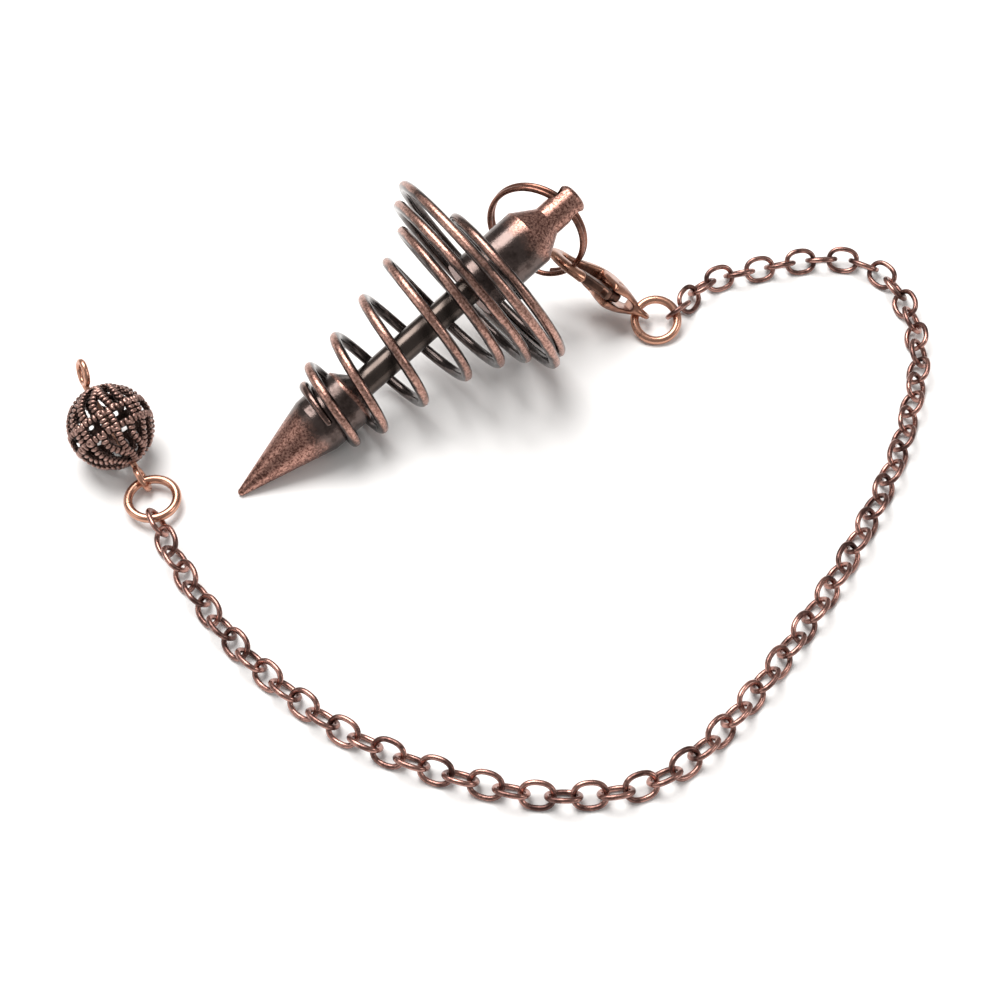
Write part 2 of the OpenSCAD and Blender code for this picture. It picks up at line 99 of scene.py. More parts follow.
def heading(azimuth: float, rise: float) -> np.ndarray:
    """The direction at an azimuth and a rise, in degrees."""
    a, r = math.radians(azimuth), math.radians(rise)
    return vec(math.cos(r) * math.cos(a), math.cos(r) * math.sin(a), math.sin(r))


def full_turn(count: int) -> np.ndarray:
    """Angles spaced evenly round a full turn."""
    return np.linspace(0, 2 * math.pi, count, endpoint=False)


def smooth(t: float) -> float:
    """A soft step from 0 to 1."""
    t = min(1.0, max(0.0, t))
    return t * t * (3 - 2 * t)


@dataclass(frozen=True)
class Stand:
    """A piece's own frame: where it stands and its three axes."""

    at: np.ndarray
    x: np.ndarray
    y: np.ndarray
    z: np.ndarray

    @classmethod
    def along(cls, at: np.ndarray, x_dir: np.ndarray, z_dir: np.ndarray) -> "Stand":
        """A frame at a point, with its z axis given and its x axis nearest to a direction."""
        z = unit(z_dir)
        y = unit(np.cross(z, x_dir))
        return cls(at, np.cross(y, z), y, z)

    def place(self, points: np.ndarray) -> np.ndarray:
        """Points of this frame, in the frame of the solids."""
        p = np.atleast_2d(points)
        return self.at + p[:, :1] * self.x + p[:, 1:2] * self.y + p[:, 2:3] * self.z


# Meshes

# A wire's rounded end: distances from the end and thicknesses there, as shares of its own
ROUND_END = ((0.0, 0.35), (0.12, 0.68), (0.3, 0.88), (0.55, 0.98))
# The distance from an end, in radii, within which a wire's own points give way
ROUND_REACH = 0.7


@dataclass
class MeshStock:
    """Vertices and faces of one piece, gathered part by part.

    Attributes:
        points: Vertices in millimetres.
        faces: Faces by vertex number.
    """

    points: list[np.ndarray] = field(default_factory=list)
    faces: list[tuple[int, ...]] = field(default_factory=list)

    def add(self, points: np.ndarray, faces: Iterable[Sequence[int]]) -> None:
        """Adds a part, with its faces counted from its own first vertex."""
        start = sum(len(p) for p in self.points)
        self.points.append(np.asarray(points, float))
        self.faces.extend(tuple(start + i for i in face) for face in faces)

    def add_tube(self, rings: Sequence[np.ndarray], closed: bool = False, offset: int = 0) -> None:
        """Adds a tube through rings of vertices, with its ends filled where it is open.

        Args:
            rings: The rings, each with the same count of vertices.
            closed: Whether the last ring joins the first.
            offset: Vertices by which the last ring is turned from the first.
        """
        count, sides = len(rings), len(rings[0])
        faces: list[tuple[int, ...]] = []
        for i in range(count if closed else count - 1):
            j = (i + 1) % count
            shift = offset if closed and j == 0 else 0
            for k in range(sides):
                c, d = (k - shift) % sides, (k + 1 - shift) % sides
                faces.append((i * sides + k, i * sides + (k + 1) % sides, j * sides + d, j * sides + c))
        if not closed:
            faces.append(tuple(reversed(range(sides))))
            faces.append(tuple((count - 1) * sides + k for k in range(sides)))
        self.add(np.vstack(rings), faces)

    def add_wire(
        self, path: np.ndarray, radius: float | np.ndarray, sides: int, closed: bool = False
    ) -> None:
        """Adds a round wire along a path, with rounded ends where it is open.

        Args:
            path: Points of the wire's middle line.
            radius: The wire's radius, or one for each point.
            sides: Vertices round the wire.
            closed: Whether the wire joins its own start.
        """
        path = np.asarray(path, float)
        radii = np.broadcast_to(np.asarray(radius, float), (len(path),)).copy()
        if not closed:
            path, radii = self._round_ends(path, radii)
        if closed:
            ahead = np.roll(path, -1, axis=0) - np.roll(path, 1, axis=0)
        else:
            ahead = np.gradient(path, axis=0)
        ahead = units(ahead)
        side = unit(np.cross(ahead[0], vec(0.31, 0.17, 0.93)))
        angles = full_turn(sides)
        rings = []
        for i in range(len(path)):
            side = unit(side - (side @ ahead[i]) * ahead[i])
            other = np.cross(ahead[i], side)
            round_wire = np.cos(angles)[:, None] * side + np.sin(angles)[:, None] * other
            rings.append(path[i] + radii[i] * round_wire)
        offset = 0
        if closed:
            other = np.cross(ahead[0], unit(rings[0][0] - path[0]))
            gap = rings[-1] - path[-1]
            first = unit(rings[0][0] - path[0])
            turns = [math.atan2(g @ other, g @ first) for g in gap]
            offset = int(np.argmin(np.abs(turns)))
        self.add_tube(rings, closed, offset)

    def add_strap(self, path: np.ndarray, centre: np.ndarray, half: Pair, sides: int = 10) -> None:
        """Adds a strap with rounded edges that lies over a ball.

        Args:
            path: Points of the strap's middle line.
            centre: The ball's centre.
            half: Half the strap's width and half its thickness.
            sides: Vertices round the strap.
        """
        out = units(path - centre)
        across = np.cross(units(np.gradient(path, axis=0)), out)
        angles = full_turn(sides)
        wide, thick = half[0] * np.cos(angles)[:, None], half[1] * np.sin(angles)[:, None]
        self.add_tube([p + wide * a + thick * o for p, a, o in zip(path, across, out)])

    @staticmethod
    def _round_ends(path: np.ndarray, radii: np.ndarray) -> tuple[np.ndarray, np.ndarray]:
        """A path and radii whose two ends are worn round within their own length."""
        near = ROUND_REACH * radii
        start, end = unit(path[1] - path[0]), unit(path[-2] - path[-1])
        head = [path[0] + radii[0] * s * start for s, _ in ROUND_END]
        tail = [path[-1] + radii[-1] * s * end for s, _ in reversed(ROUND_END)]
        keep = [
            i for i in range(1, len(path) - 1)
            if min(np.linalg.norm(path[i] - path[0]), np.linalg.norm(path[i] - path[-1])) > near[i]
        ]
        points = np.vstack([head, path[keep], tail])
        sizes = [radii[0] * f for _, f in ROUND_END] + [radii[i] for i in keep]
        sizes += [radii[-1] * f for _, f in reversed(ROUND_END)]
        return points, np.array(sizes)

    def add_bead(self, at: np.ndarray, out: np.ndarray, along: np.ndarray, size: Triple) -> None:
        """Adds a small rounded bead.

        Args:
            at: Its middle in millimetres.
            out: The way that its top points.
            along: The way that its strand runs.
            size: Half sizes along, across and out.
        """
        z = unit(out)
        x = unit(along - (along @ z) * z)
        y = np.cross(z, x)
        rings, segments = 7, 10
        points = [at + size[2] * z]
        for i in range(1, rings):
            tilt = math.pi * i / rings
            for k in range(segments):
                turn = 2 * math.pi * k / segments
                points.append(
                    at + size[0] * math.sin(tilt) * math.cos(turn) * x
                    + size[1] * math.sin(tilt) * math.sin(turn) * y + size[2] * math.cos(tilt) * z
                )
        points.append(at - size[2] * z)
        last = len(points) - 1
        faces: list[tuple[int, ...]] = []
        for k in range(segments):
            n = (k + 1) % segments
            faces.append((0, 1 + k, 1 + n))
            for i in range(rings - 2):
                a, b = 1 + i * segments, 1 + (i + 1) * segments
                faces.append((a + k, b + k, b + n, a + n))
            faces.append((last, last - segments + n, last - segments + k))
        self.add(np.array(points), faces)

    def piece(self, name: str, body: str, slot: str, *nodes: str) -> Object:
        """Puts the stock in the scene as a piece of the pendulum.

        Args:
            name: The piece's name.
            body: The body that it moves with.
            slot: The record's material slot; not used.
            nodes: The solids that it stands for.

        Returns:
            The new object.
        """
        mesh = bpy.data.meshes.new(name)
        mesh.from_pydata((np.vstack(self.points) * MM).tolist(), [], self.faces)
        mesh.validate()
        bm = bmesh.new()
        bm.from_mesh(mesh)
        bmesh.ops.recalc_face_normals(bm, faces=bm.faces)
        bm.to_mesh(mesh)
        bm.free()
        mesh.polygons.foreach_set("use_smooth", [True] * len(mesh.polygons))
        obj = bpy.data.objects.new(name, mesh)
        bpy.context.scene.collection.objects.link(obj)
        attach(obj, body)
        if nodes:
            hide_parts(*nodes)
        return obj


def soft_max(a: np.ndarray, b: np.ndarray, soft: float) -> np.ndarray:
    """The greater of two fields, with the corner between them rounded."""
    near = np.maximum(soft - np.abs(a - b), 0) / soft
    return np.maximum(a, b) + near * near * soft / 4


def soft_min(a: np.ndarray, b: np.ndarray, soft: float) -> np.ndarray:
    """The lesser of two fields, with the corner between them rounded."""
    return -soft_max(-a, -b, soft)


def outline_field(corners: Sequence[Pair], x: np.ndarray, y: np.ndarray) -> np.ndarray:
    """Distance from a closed outline, below zero inside it.

    Args:
        corners: The outline's corners.
        x: Places along.
        y: Places across.

    Returns:
        The distances.
    """
    best = np.full(np.broadcast(x, y).shape, 1e9)
    inside = np.zeros(best.shape, bool)
    for (ax, ay), (bx, by) in zip(corners, [*corners[1:], corners[0]]):
        ex, ey = bx - ax, by - ay
        share = np.clip(((x - ax) * ex + (y - ay) * ey) / (ex * ex + ey * ey), 0, 1)
        best = np.minimum(best, np.hypot(x - ax - share * ex, y - ay - share * ey))
        if ey != 0:
            crosses = ((ay > y) != (by > y)) & (x < ax + (y - ay) / ey * ex)
            inside ^= crosses
    return np.where(inside, -best, best)


@dataclass
class FieldGrid:
    """A grid of places in a piece's own frame, on which rounded forms are worked out.

    Attributes:
        low: The grid's lowest corner in millimetres.
        high: Its highest corner.
        cell: The distance between places.
    """

    low: Triple
    high: Triple
    cell: float

    def axes(self) -> tuple[np.ndarray, np.ndarray, np.ndarray]:
        """The places along each axis, shaped so that they combine into the grid."""
        x, y, z = (np.arange(a, b + self.cell, self.cell) for a, b in zip(self.low, self.high))
        return x[:, None, None], y[None, :, None], z[None, None, :]

    def skin(self, field: np.ndarray) -> tuple[np.ndarray, np.ndarray]:
        """The surface where a field is zero.

        Args:
            field: The field's value at each place.

        Returns:
            The surface's vertices and its four-sided faces.
        """
        inside = field < 0
        size = np.array(field.shape) - 1
        total = np.zeros((*size, 3))
        count = np.zeros(size)

        def corner(offset: tuple[int, int, int], values: np.ndarray) -> np.ndarray:
            return values[tuple(slice(o, o + n) for o, n in zip(offset, size))]

        for axis in range(3):
            for side in range(4):
                start = [0, 0, 0]
                others = [i for i in range(3) if i != axis]
                start[others[0]], start[others[1]] = side & 1, side >> 1
                end = list(start)
                end[axis] = 1
                a, b = corner(tuple(start), field), corner(tuple(end), field)
                cut = corner(tuple(start), inside) != corner(tuple(end), inside)
                share = np.where(cut, a / np.where(cut, a - b, 1.0), 0.0)
                for i in range(3):
                    total[..., i] += np.where(cut, start[i] + (share if i == axis else 0.0), 0.0)
                count += cut
        active = count > 0
        number = np.full(size, -1)
        number[active] = np.arange(int(active.sum()))
        places = np.argwhere(active) + total[active] / count[active][:, None]
        faces = []
        for axis in range(3):
            u, v = (i for i in range(3) if i != axis)
            here = [slice(1, n) for n in size]
            here[axis] = slice(0, size[axis])
            ahead = list(here)
            ahead[axis] = slice(1, size[axis] + 1)
            where = np.argwhere(inside[tuple(here)] != inside[tuple(ahead)])
            where += np.array([0 if i == axis else 1 for i in range(3)])
            ring = []
            for du, dv in ((1, 1), (0, 1), (0, 0), (1, 0)):
                at = where.copy()
                at[:, u] -= du
                at[:, v] -= dv
                ring.append(number[at[:, 0], at[:, 1], at[:, 2]])
            faces.append(np.stack(ring, axis=1))
        return np.array(self.low) + places * self.cell, np.vstack(faces)


# Shader effects


class Bench:
    """A node tree under work: makes nodes, sets their sockets and joins them."""

    def __init__(self, tree: bpy.types.NodeTree) -> None:
        """Takes the tree to work on."""
        self.tree = tree

    def node(self, kind: str, **settings: object) -> bpy.types.Node:
        """A new node with its settings."""
        made = self.tree.nodes.new(kind)
        for name, value in settings.items():
            setattr(made, name, value)
        return made

    def feed(self, socket: Socket, value: object) -> None:
        """Joins a socket to another socket, or sets its value."""
        if isinstance(value, Socket):
            self.tree.links.new(value, socket)
        else:
            socket.default_value = value

    def math(self, what: str, a: object, b: object = 0.0) -> Socket:
        """The result of a sum on one or two values."""
        made = self.node("ShaderNodeMath", operation=what)
        self.feed(made.inputs[0], a)
        self.feed(made.inputs[1], b)
        return made.outputs[0]

    def vector(self, what: str, a: object, b: object = (0.0, 0.0, 0.0), out: str = "Vector") -> Socket:
        """The result of a sum on one or two vectors."""
        made = self.node("ShaderNodeVectorMath", operation=what)
        self.feed(made.inputs[0], a)
        self.feed(made.inputs[1], b)
        return made.outputs[out]

    def from_point(self, point: object) -> Socket:
        """The way from a point to the place on the object."""
        return self.vector("SUBTRACT", self.where(), point)

    def along(self, away: object, direction: object) -> Socket:
        """How far a vector reaches along a direction."""
        return self.vector("DOT_PRODUCT", away, direction, "Value")

    def between(self, value: object, low: object, high: object) -> Socket:
        """A soft step from 0 at the low value to 1 at the high one."""
        made = self.node("ShaderNodeMapRange", interpolation_type="SMOOTHSTEP")
        self.feed(made.inputs["Value"], value)
        self.feed(made.inputs["From Min"], low)
        self.feed(made.inputs["From Max"], high)
        return made.outputs["Result"]

    def noise(self, where: object, scale: object, detail: float = 4.0, rough: float = 0.55) -> Socket:
        """Cloudy noise at a scale."""
        made = self.node("ShaderNodeTexNoise")
        self.feed(made.inputs["Vector"], where)
        self.feed(made.inputs["Scale"], scale)
        made.inputs["Detail"].default_value = detail
        made.inputs["Roughness"].default_value = rough
        return made.outputs["Fac"]

    def wander(self, where: object, scale: object, detail: float = 4.0, rough: float = 0.55) -> Socket:
        """Cloudy noise about zero."""
        return self.math("SUBTRACT", self.noise(where, scale, detail, rough), 0.5)

    def plus(self, a: object, b: object, share: object = 1.0) -> Socket:
        """A value and a share of another."""
        return self.math("ADD", a, self.math("MULTIPLY", b, share))

    def where(self) -> Socket:
        """The place on the object, in metres."""
        return self.node("ShaderNodeTexCoord").outputs["Object"]

    def blend(self, share: object, a: object, b: object) -> Socket:
        """Two colours mixed by a share."""
        made = self.node("ShaderNodeMix", data_type="RGBA")
        self.feed(made.inputs["Factor"], share)
        for number, color in ((6, a), (7, b)):
            self.feed(made.inputs[number], (*color, 1) if isinstance(color, tuple) else color)
        return made.outputs[2]

    def level(self, share: object, a: object, b: object) -> Socket:
        """Two values mixed by a share."""
        made = self.node("ShaderNodeMix", data_type="FLOAT")
        for name, value in (("Factor", share), ("A", a), ("B", b)):
            self.feed(made.inputs[name], value)
        return made.outputs[0]


class Effect(Enum):
    """The shared effects, by the names of their node groups."""

    CLOUDS = "patina clouds"
    # The outward rub: wear on the wire's outer side, and a painted reflection there
    OUTWARD = "outward rub"
    STATION = "station on axis"
    # Proud: rubbed tops of the ball's beads, with painted shade in the recesses below
    PROUD = "proud of centre"
    GRAIN = "drawn grain"


class EffectShelf:
    """Builds each shared effect once and places it in materials."""

    # The inputs of an effect that goes by a line
    LINE = {"Axis Point": (0.0, 0.0, 0.0), "Axis": (0.0, 0.0, 1.0)}
    # The speckle: its scale against the clouds', its share in them, and the noise where it rises
    SPECKLE_SCALE = 4.6
    SPECKLE_SHARE = 0.28
    SPECKLE_RANGE = (0.42, 0.58)
    # The broad patches in the outward rub and painted sheen: their scale and their strength
    PATCH_SCALE = 150.0
    PATCH_SHARE = 1.3
    # The noise on what stands proud, and the dents' scale against the grain's
    PROUD_SCALE = 900.0
    DENT_SCALE = 0.16

    def __init__(self) -> None:
        """Starts with an empty shelf."""
        self.groups: dict[Effect, bpy.types.NodeTree] = {}

    def place(self, bench: Bench, effect: Effect, **values: object) -> bpy.types.Node:
        """Places an effect in a material, with spaces in its inputs' names as underscores."""
        if effect not in self.groups:
            self.groups[effect] = self._make(effect)
        node = bench.node("ShaderNodeGroup", node_tree=self.groups[effect])
        for name, value in values.items():
            bench.feed(node.inputs[name.replace("_", " ")], value)
        return node

    def _make(self, effect: Effect) -> bpy.types.NodeTree:
        """Builds an effect's group."""
        makers: dict[Effect, Callable[[bpy.types.NodeTree], None]] = {
            Effect.CLOUDS: self._clouds,
            Effect.OUTWARD: self._outward,
            Effect.STATION: self._station,
            Effect.PROUD: self._proud,
            Effect.GRAIN: self._grain,
        }
        tree = bpy.data.node_groups.new(effect.value, "ShaderNodeTree")
        makers[effect](tree)
        return tree

    @staticmethod
    def _sockets(tree: bpy.types.NodeTree, ins: dict[str, object], *outs: str) -> tuple[Bench, dict, dict]:
        """Gives a group its named inputs and outputs.

        Args:
            tree: The group.
            ins: Input names with their usual values.
            outs: Output names.

        Returns:
            The bench, the input sockets and the output sockets, by name.
        """
        for name, value in ins.items():
            kind = "NodeSocketVector" if isinstance(value, tuple) else "NodeSocketFloat"
            made = tree.interface.new_socket(name=name, in_out="INPUT", socket_type=kind)
            made.default_value = value
        for name in outs:
            tree.interface.new_socket(name=name, in_out="OUTPUT", socket_type="NodeSocketFloat")
        bench = Bench(tree)
        source, sink = bench.node("NodeGroupInput"), bench.node("NodeGroupOutput")
        return bench, {n: source.outputs[n] for n in ins}, {n: sink.inputs[n] for n in outs}

    def _clouds(self, tree: bpy.types.NodeTree) -> None:
        """Dark patina in clouds, with a fine speckle."""
        values = {"Scale": 300.0, "Cover": 0.5, "Edge": 0.1}
        bench, given, out = self._sockets(tree, values, "Mask", "Speckle")
        where = bench.where()
        broad = bench.noise(where, given["Scale"], detail=5.0, rough=0.62)
        speckle_scale = bench.math("MULTIPLY", given["Scale"], self.SPECKLE_SCALE)
        fine = bench.noise(where, speckle_scale, detail=7.0, rough=0.8)
        mixed = bench.plus(bench.math("MULTIPLY", broad, 1 - self.SPECKLE_SHARE), fine, self.SPECKLE_SHARE)
        low = bench.math("SUBTRACT", given["Cover"], given["Edge"])
        high = bench.math("ADD", given["Cover"], given["Edge"])
        bench.feed(out["Mask"], bench.between(mixed, high, low))
        bench.feed(out["Speckle"], bench.between(fine, *self.SPECKLE_RANGE))

    def _outward(self, tree: bpy.types.NodeTree) -> None:
        """Where the surface looks away from an axis, with a wandering edge: wear, and a painted reflection on
        the outer side.
        """
        values = {"Start": 0.5, "Full": 0.8, "Wander": 0.3, "Scale": 500.0}
        bench, given, out = self._sockets(tree, {**self.LINE, **values}, "Mask")
        where, away = bench.where(), bench.from_point(given["Axis Point"])
        scaled = bench.node("ShaderNodeVectorMath", operation="SCALE")
        bench.feed(scaled.inputs[0], given["Axis"])
        bench.feed(scaled.inputs["Scale"], bench.along(away, given["Axis"]))
        radial = bench.vector("NORMALIZE", bench.vector("SUBTRACT", away, scaled.outputs[0]))
        facing = bench.along(bench.node("ShaderNodeNewGeometry").outputs["Normal"], radial)
        noise = bench.wander(where, given["Scale"], rough=0.65)
        patch = bench.wander(where, self.PATCH_SCALE, detail=2.0)
        wandering = bench.plus(facing, bench.plus(noise, patch, self.PATCH_SHARE), given["Wander"])
        bench.feed(out["Mask"], bench.between(wandering, given["Start"], given["Full"]))

    def _station(self, tree: bpy.types.NodeTree) -> None:
        """How far along an axis a place lies, in millimetres."""
        bench, given, out = self._sockets(tree, self.LINE, "Station")
        run = bench.along(bench.from_point(given["Axis Point"]), given["Axis"])
        bench.feed(out["Station"], bench.math("DIVIDE", run, MM))

    def _proud(self, tree: bpy.types.NodeTree) -> None:
        """Where the surface stands proud, by its distance from a centre in millimetres: rubbed bead tops,
        with painted shade in the recesses below.
        """
        values = {"Centre": (0.0, 0.0, 0.0), "Low": 4.5, "High": 4.8, "Wander": 0.1}
        bench, given, out = self._sockets(tree, values, "Mask")
        far = bench.vector("LENGTH", bench.from_point(given["Centre"]), out="Value")
        far = bench.math("DIVIDE", far, MM)
        noise = bench.wander(bench.where(), self.PROUD_SCALE)
        far = bench.plus(far, noise, given["Wander"])
        bench.feed(out["Mask"], bench.between(far, given["Low"], given["High"]))

    def _grain(self, tree: bpy.types.NodeTree) -> None:
        """Fine grain and soft dents, as a height."""
        bench, given, out = self._sockets(tree, {"Scale": 2500.0, "Dents": 0.4}, "Height")
        where = bench.where()
        fine = bench.noise(where, given["Scale"], detail=3.0, rough=0.7)
        dent_scale = bench.math("MULTIPLY", given["Scale"], self.DENT_SCALE)
        broad = bench.noise(where, dent_scale, detail=2.0)
        bench.feed(out["Height"], bench.plus(fine, broad, given["Dents"]))


# Finishes

# Strength of the grain's bump
BUMP_STRENGTH = 0.6
# Length over which an outward rub fades out at its ends, and what is left of it beyond, as a share
# The dark ends are painted shade, where the wire wraps on the barrel and on the cap
END_SHADE_FADE = 0.6
RUB_LEFT_IN_END_SHADE = 0.25
# Scale of the noise on a rub of the ends, and the lengths over which it fades at each
ENDS_SCALE = 260.0
LOW_FADE = 1.0
HIGH_FADE = 2.5
# Distances from a worn edge where the wear starts and is full, and how far the edge wanders
EDGE_FADE = (0.42, 0.08)
EDGE_WANDER = 0.6


class RubAndPaintedLight(Enum):
    """Where a finish is rubbed back to bright copper; the outward and proud kinds also paint light and shade.
    """

    NONE = "none"
    # Outward: partly wear, partly a painted reflection on the wire's outer side, with painted shade at its
    # ends
    OUTWARD = "outward"
    ENDS = "ends"
    # Proud: the ball's bead tops rubbed bright, and its recesses painted dark as shade
    PROUD = "proud"


@dataclass(frozen=True)
class Copper:
    """An antiqued copper finish.

    Attributes:
        name: The material's name.
        bright: Colour of rubbed copper; on the wire it also paints a reflection.
        middle: Colour of the plain finish.
        dark: Colour of its dark patches.
        shine: Roughness of the bright copper and of the dark patches.
        clouds: Scale, cover and edge of the dark patches.
        rub: Where it is rubbed bright; the outward and proud kinds also paint light and shade.
        rub_range: Start and full values of the rub.
        rub_wander: How far the rub's edge wanders.
        speckle: How much of the rub the stain's speckle takes.
        stain: Colour of the speckle in the rub.
        rub_shine: Roughness of the rub.
        grain: Scale of the grain, and its depth in millimetres.
        edges: Stations of the edges that are worn bright, or between which an outward rub is full.
    """

    name: str
    bright: Triple
    middle: Triple
    dark: Triple
    shine: Pair
    clouds: Triple
    rub: RubAndPaintedLight = RubAndPaintedLight.NONE
    rub_range: Pair = (0.4, 0.8)
    rub_wander: float = 0.4
    speckle: float = 0.5
    stain: Triple = (0.1, 0.045, 0.035)
    rub_shine: float = 0.34
    grain: Pair = (2500.0, 0.01)
    edges: tuple[float, ...] = ()

    def material(self, shelf: EffectShelf, spindle: "SpindleLine", ball: np.ndarray) -> bpy.types.Material:
        """Makes the finish.

        Args:
            shelf: The shared effects.
            spindle: The line that rubs go by.
            ball: The filigree ball's centre in millimetres.

        Returns:
            The material.
        """
        made = bpy.data.materials.new(self.name)
        made.use_nodes = True
        made.node_tree.nodes.clear()
        bench = Bench(made.node_tree)
        shader = bench.node("ShaderNodeBsdfPrincipled")
        bench.feed(bench.node("ShaderNodeOutputMaterial").inputs["Surface"], shader.outputs[0])
        scale, cover, edge = self.clouds
        clouds = shelf.place(bench, Effect.CLOUDS, Scale=scale, Cover=cover, Edge=edge)
        patina = clouds.outputs["Mask"]
        color = bench.blend(patina, self.middle, self.dark)
        shine = bench.level(patina, *self.shine)
        # The rub: worn copper, and on the wire and the ball also painted reflection and shade
        rub = self._rub_and_painted_light_mask(bench, shelf, spindle, ball)
        if rub is not None:
            stained = bench.math("MULTIPLY", clouds.outputs["Speckle"], self.speckle)
            rubbed = bench.blend(stained, self.bright, self.stain)
            color = bench.blend(rub, color, rubbed)
            shine = bench.level(rub, shine, self.rub_shine)
        bench.feed(shader.inputs["Base Color"], color)
        bench.feed(shader.inputs["Roughness"], shine)
        shader.inputs["Metallic"].default_value = 1.0
        grain = shelf.place(bench, Effect.GRAIN, Scale=self.grain[0])
        bump = bench.node("ShaderNodeBump")
        bump.inputs["Strength"].default_value = BUMP_STRENGTH
        bump.inputs["Distance"].default_value = self.grain[1] * MM
        bench.feed(bump.inputs["Height"], grain.outputs["Height"])
        bench.feed(shader.inputs["Normal"], bump.outputs[0])
        return made

    def _rub_and_painted_light_mask(
        self, bench: Bench, shelf: EffectShelf, spindle: "SpindleLine", ball: np.ndarray
    ) -> Socket | None:
        """The mask of rubbed copper, with painted light and shade in the outward and proud kinds, or None
        where there is none.
        """
        start, full = self.rub_range
        if self.rub is RubAndPaintedLight.NONE:
            return None
        # The ball: rubbed bead tops, and painted shade in the recesses below them
        if self.rub is RubAndPaintedLight.PROUD:
            values = {"Centre": tuple(ball * MM), "Low": start, "High": full, "Wander": self.rub_wander}
            return shelf.place(bench, Effect.PROUD, **values).outputs["Mask"]
        line = {"Axis_Point": tuple(spindle.point * MM), "Axis": tuple(spindle.axis)}
        plain = shelf.place(bench, Effect.STATION, **line).outputs["Station"]
        # The wire's outer band is partly wear and partly a painted reflection; its faded ends are painted
        # shade
        if self.rub is RubAndPaintedLight.OUTWARD:
            values = {"Start": start, "Full": full, "Wander": self.rub_wander}
            mask = shelf.place(bench, Effect.OUTWARD, **line, **values).outputs["Mask"]
            low, high = self.edges
            ends = bench.between(plain, low, low + END_SHADE_FADE), bench.between(plain, high, high - END_SHADE_FADE)
            shown = bench.level(bench.math("MULTIPLY", *ends), RUB_LEFT_IN_END_SHADE, 1.0)
            return bench.math("MULTIPLY", mask, shown)
        noise = bench.wander(bench.where(), ENDS_SCALE, detail=5.0, rough=0.65)
        station = bench.plus(plain, noise, self.rub_wander)
        low = bench.between(station, start + LOW_FADE, start - LOW_FADE)
        mask = bench.math("ADD", low, bench.between(station, full - HIGH_FADE, full))
        for edge in self.edges:
            off = bench.plus(bench.math("SUBTRACT", plain, edge), noise, EDGE_WANDER)
            worn = bench.between(bench.math("ABSOLUTE", off), *EDGE_FADE)
            mask = bench.math("MAXIMUM", mask, worn)
        return mask


class Finish(Enum):
    """The pendulum's finishes."""

    MOTTLED = Copper(
        "mottled copper", (0.5, 0.275, 0.22), (0.12, 0.09, 0.082), (0.05, 0.036, 0.032), (0.2, 0.27),
        (760.0, 0.46, 0.12), rub=RubAndPaintedLight.ENDS, rub_range=(10.2, 44.4), rub_wander=6.0, speckle=0.92,
        stain=(0.075, 0.028, 0.021), grain=(3200.0, 0.03), edges=(16.65, 34.7, 43.8),
    )
    ROD = Copper(
        "dark rod", (0.2, 0.15, 0.13), (0.1, 0.08, 0.07), (0.05, 0.038, 0.034), (0.22, 0.3),
        (180.0, 0.42, 0.2), grain=(3000.0, 0.004),
    )
    # The wire: near-black sides and a bright outer band, partly antiquing and wear, partly painted reflection
    WIRE = Copper(
        "brushed wire", (0.58, 0.34, 0.275), (0.075, 0.06, 0.056), (0.026, 0.021, 0.019), (0.14, 0.24),
        (760.0, 0.45, 0.1), rub=RubAndPaintedLight.OUTWARD, rub_range=(0.56, 0.93), rub_wander=0.7, speckle=0.8,
        stain=(0.12, 0.05, 0.038), rub_shine=0.33, grain=(2600.0, 0.02), edges=(13.2, 38.3),
    )
    RING = Copper(
        "split ring copper", (0.36, 0.17, 0.12), (0.27, 0.125, 0.09), (0.08, 0.046, 0.038), (0.24, 0.36),
        (500.0, 0.45, 0.12), grain=(2600.0, 0.008),
    )
    CLASP = Copper(
        "clasp copper", (0.5, 0.24, 0.15), (0.43, 0.215, 0.145), (0.15, 0.078, 0.06), (0.26, 0.38),
        (420.0, 0.44, 0.14), grain=(2200.0, 0.012),
    )
    LEVER = Copper(
        "lever copper", (0.3, 0.16, 0.11), (0.17, 0.09, 0.065), (0.05, 0.032, 0.026), (0.3, 0.42),
        (520.0, 0.48, 0.14), grain=(2200.0, 0.012),
    )
    JUMP = Copper(
        "jump ring copper", (0.6, 0.3, 0.2), (0.54, 0.285, 0.2), (0.32, 0.16, 0.115), (0.27, 0.36),
        (300.0, 0.36, 0.16), grain=(3200.0, 0.004),
    )
    CHAIN = Copper(
        "chain copper", (0.4, 0.2, 0.16), (0.44, 0.235, 0.195), (0.1, 0.052, 0.045), (0.22, 0.34),
        (520.0, 0.5, 0.1), grain=(2600.0, 0.006),
    )
    # The ball: a dark base that is partly patina and partly painted shade in the recesses, with rubbed bead
    # tops
    BALL = Copper(
        "filigree copper", (0.46, 0.285, 0.24), (0.085, 0.05, 0.042), (0.03, 0.02, 0.018), (0.24, 0.36),
        (620.0, 0.45, 0.12), rub=RubAndPaintedLight.PROUD, rub_range=(4.66, 4.9), rub_wander=0.16, speckle=0.55,
        stain=(0.11, 0.055, 0.045), rub_shine=0.33, grain=(2200.0, 0.015),
    )


class FinishShop:
    """Makes each finish once and dresses pieces with it."""

    def __init__(self, shelf: EffectShelf, spindle: "SpindleLine", ball: np.ndarray) -> None:
        """Takes the shared effects and the places that rubs go by."""
        self.shelf = shelf
        self.spindle = spindle
        self.ball = ball
        self.made: dict[Finish, bpy.types.Material] = {}

    def dress(self, piece: Object, finish: Finish) -> Object:
        """Gives a piece or solid a finish on all its material slots, and returns it."""
        if finish not in self.made:
            self.made[finish] = finish.value.material(self.shelf, self.spindle, self.ball)
        if piece.material_slots:
            for slot in piece.material_slots:
                slot.material = self.made[finish]
        else:
            piece.data.materials.append(self.made[finish])
        return piece


# The pendulum


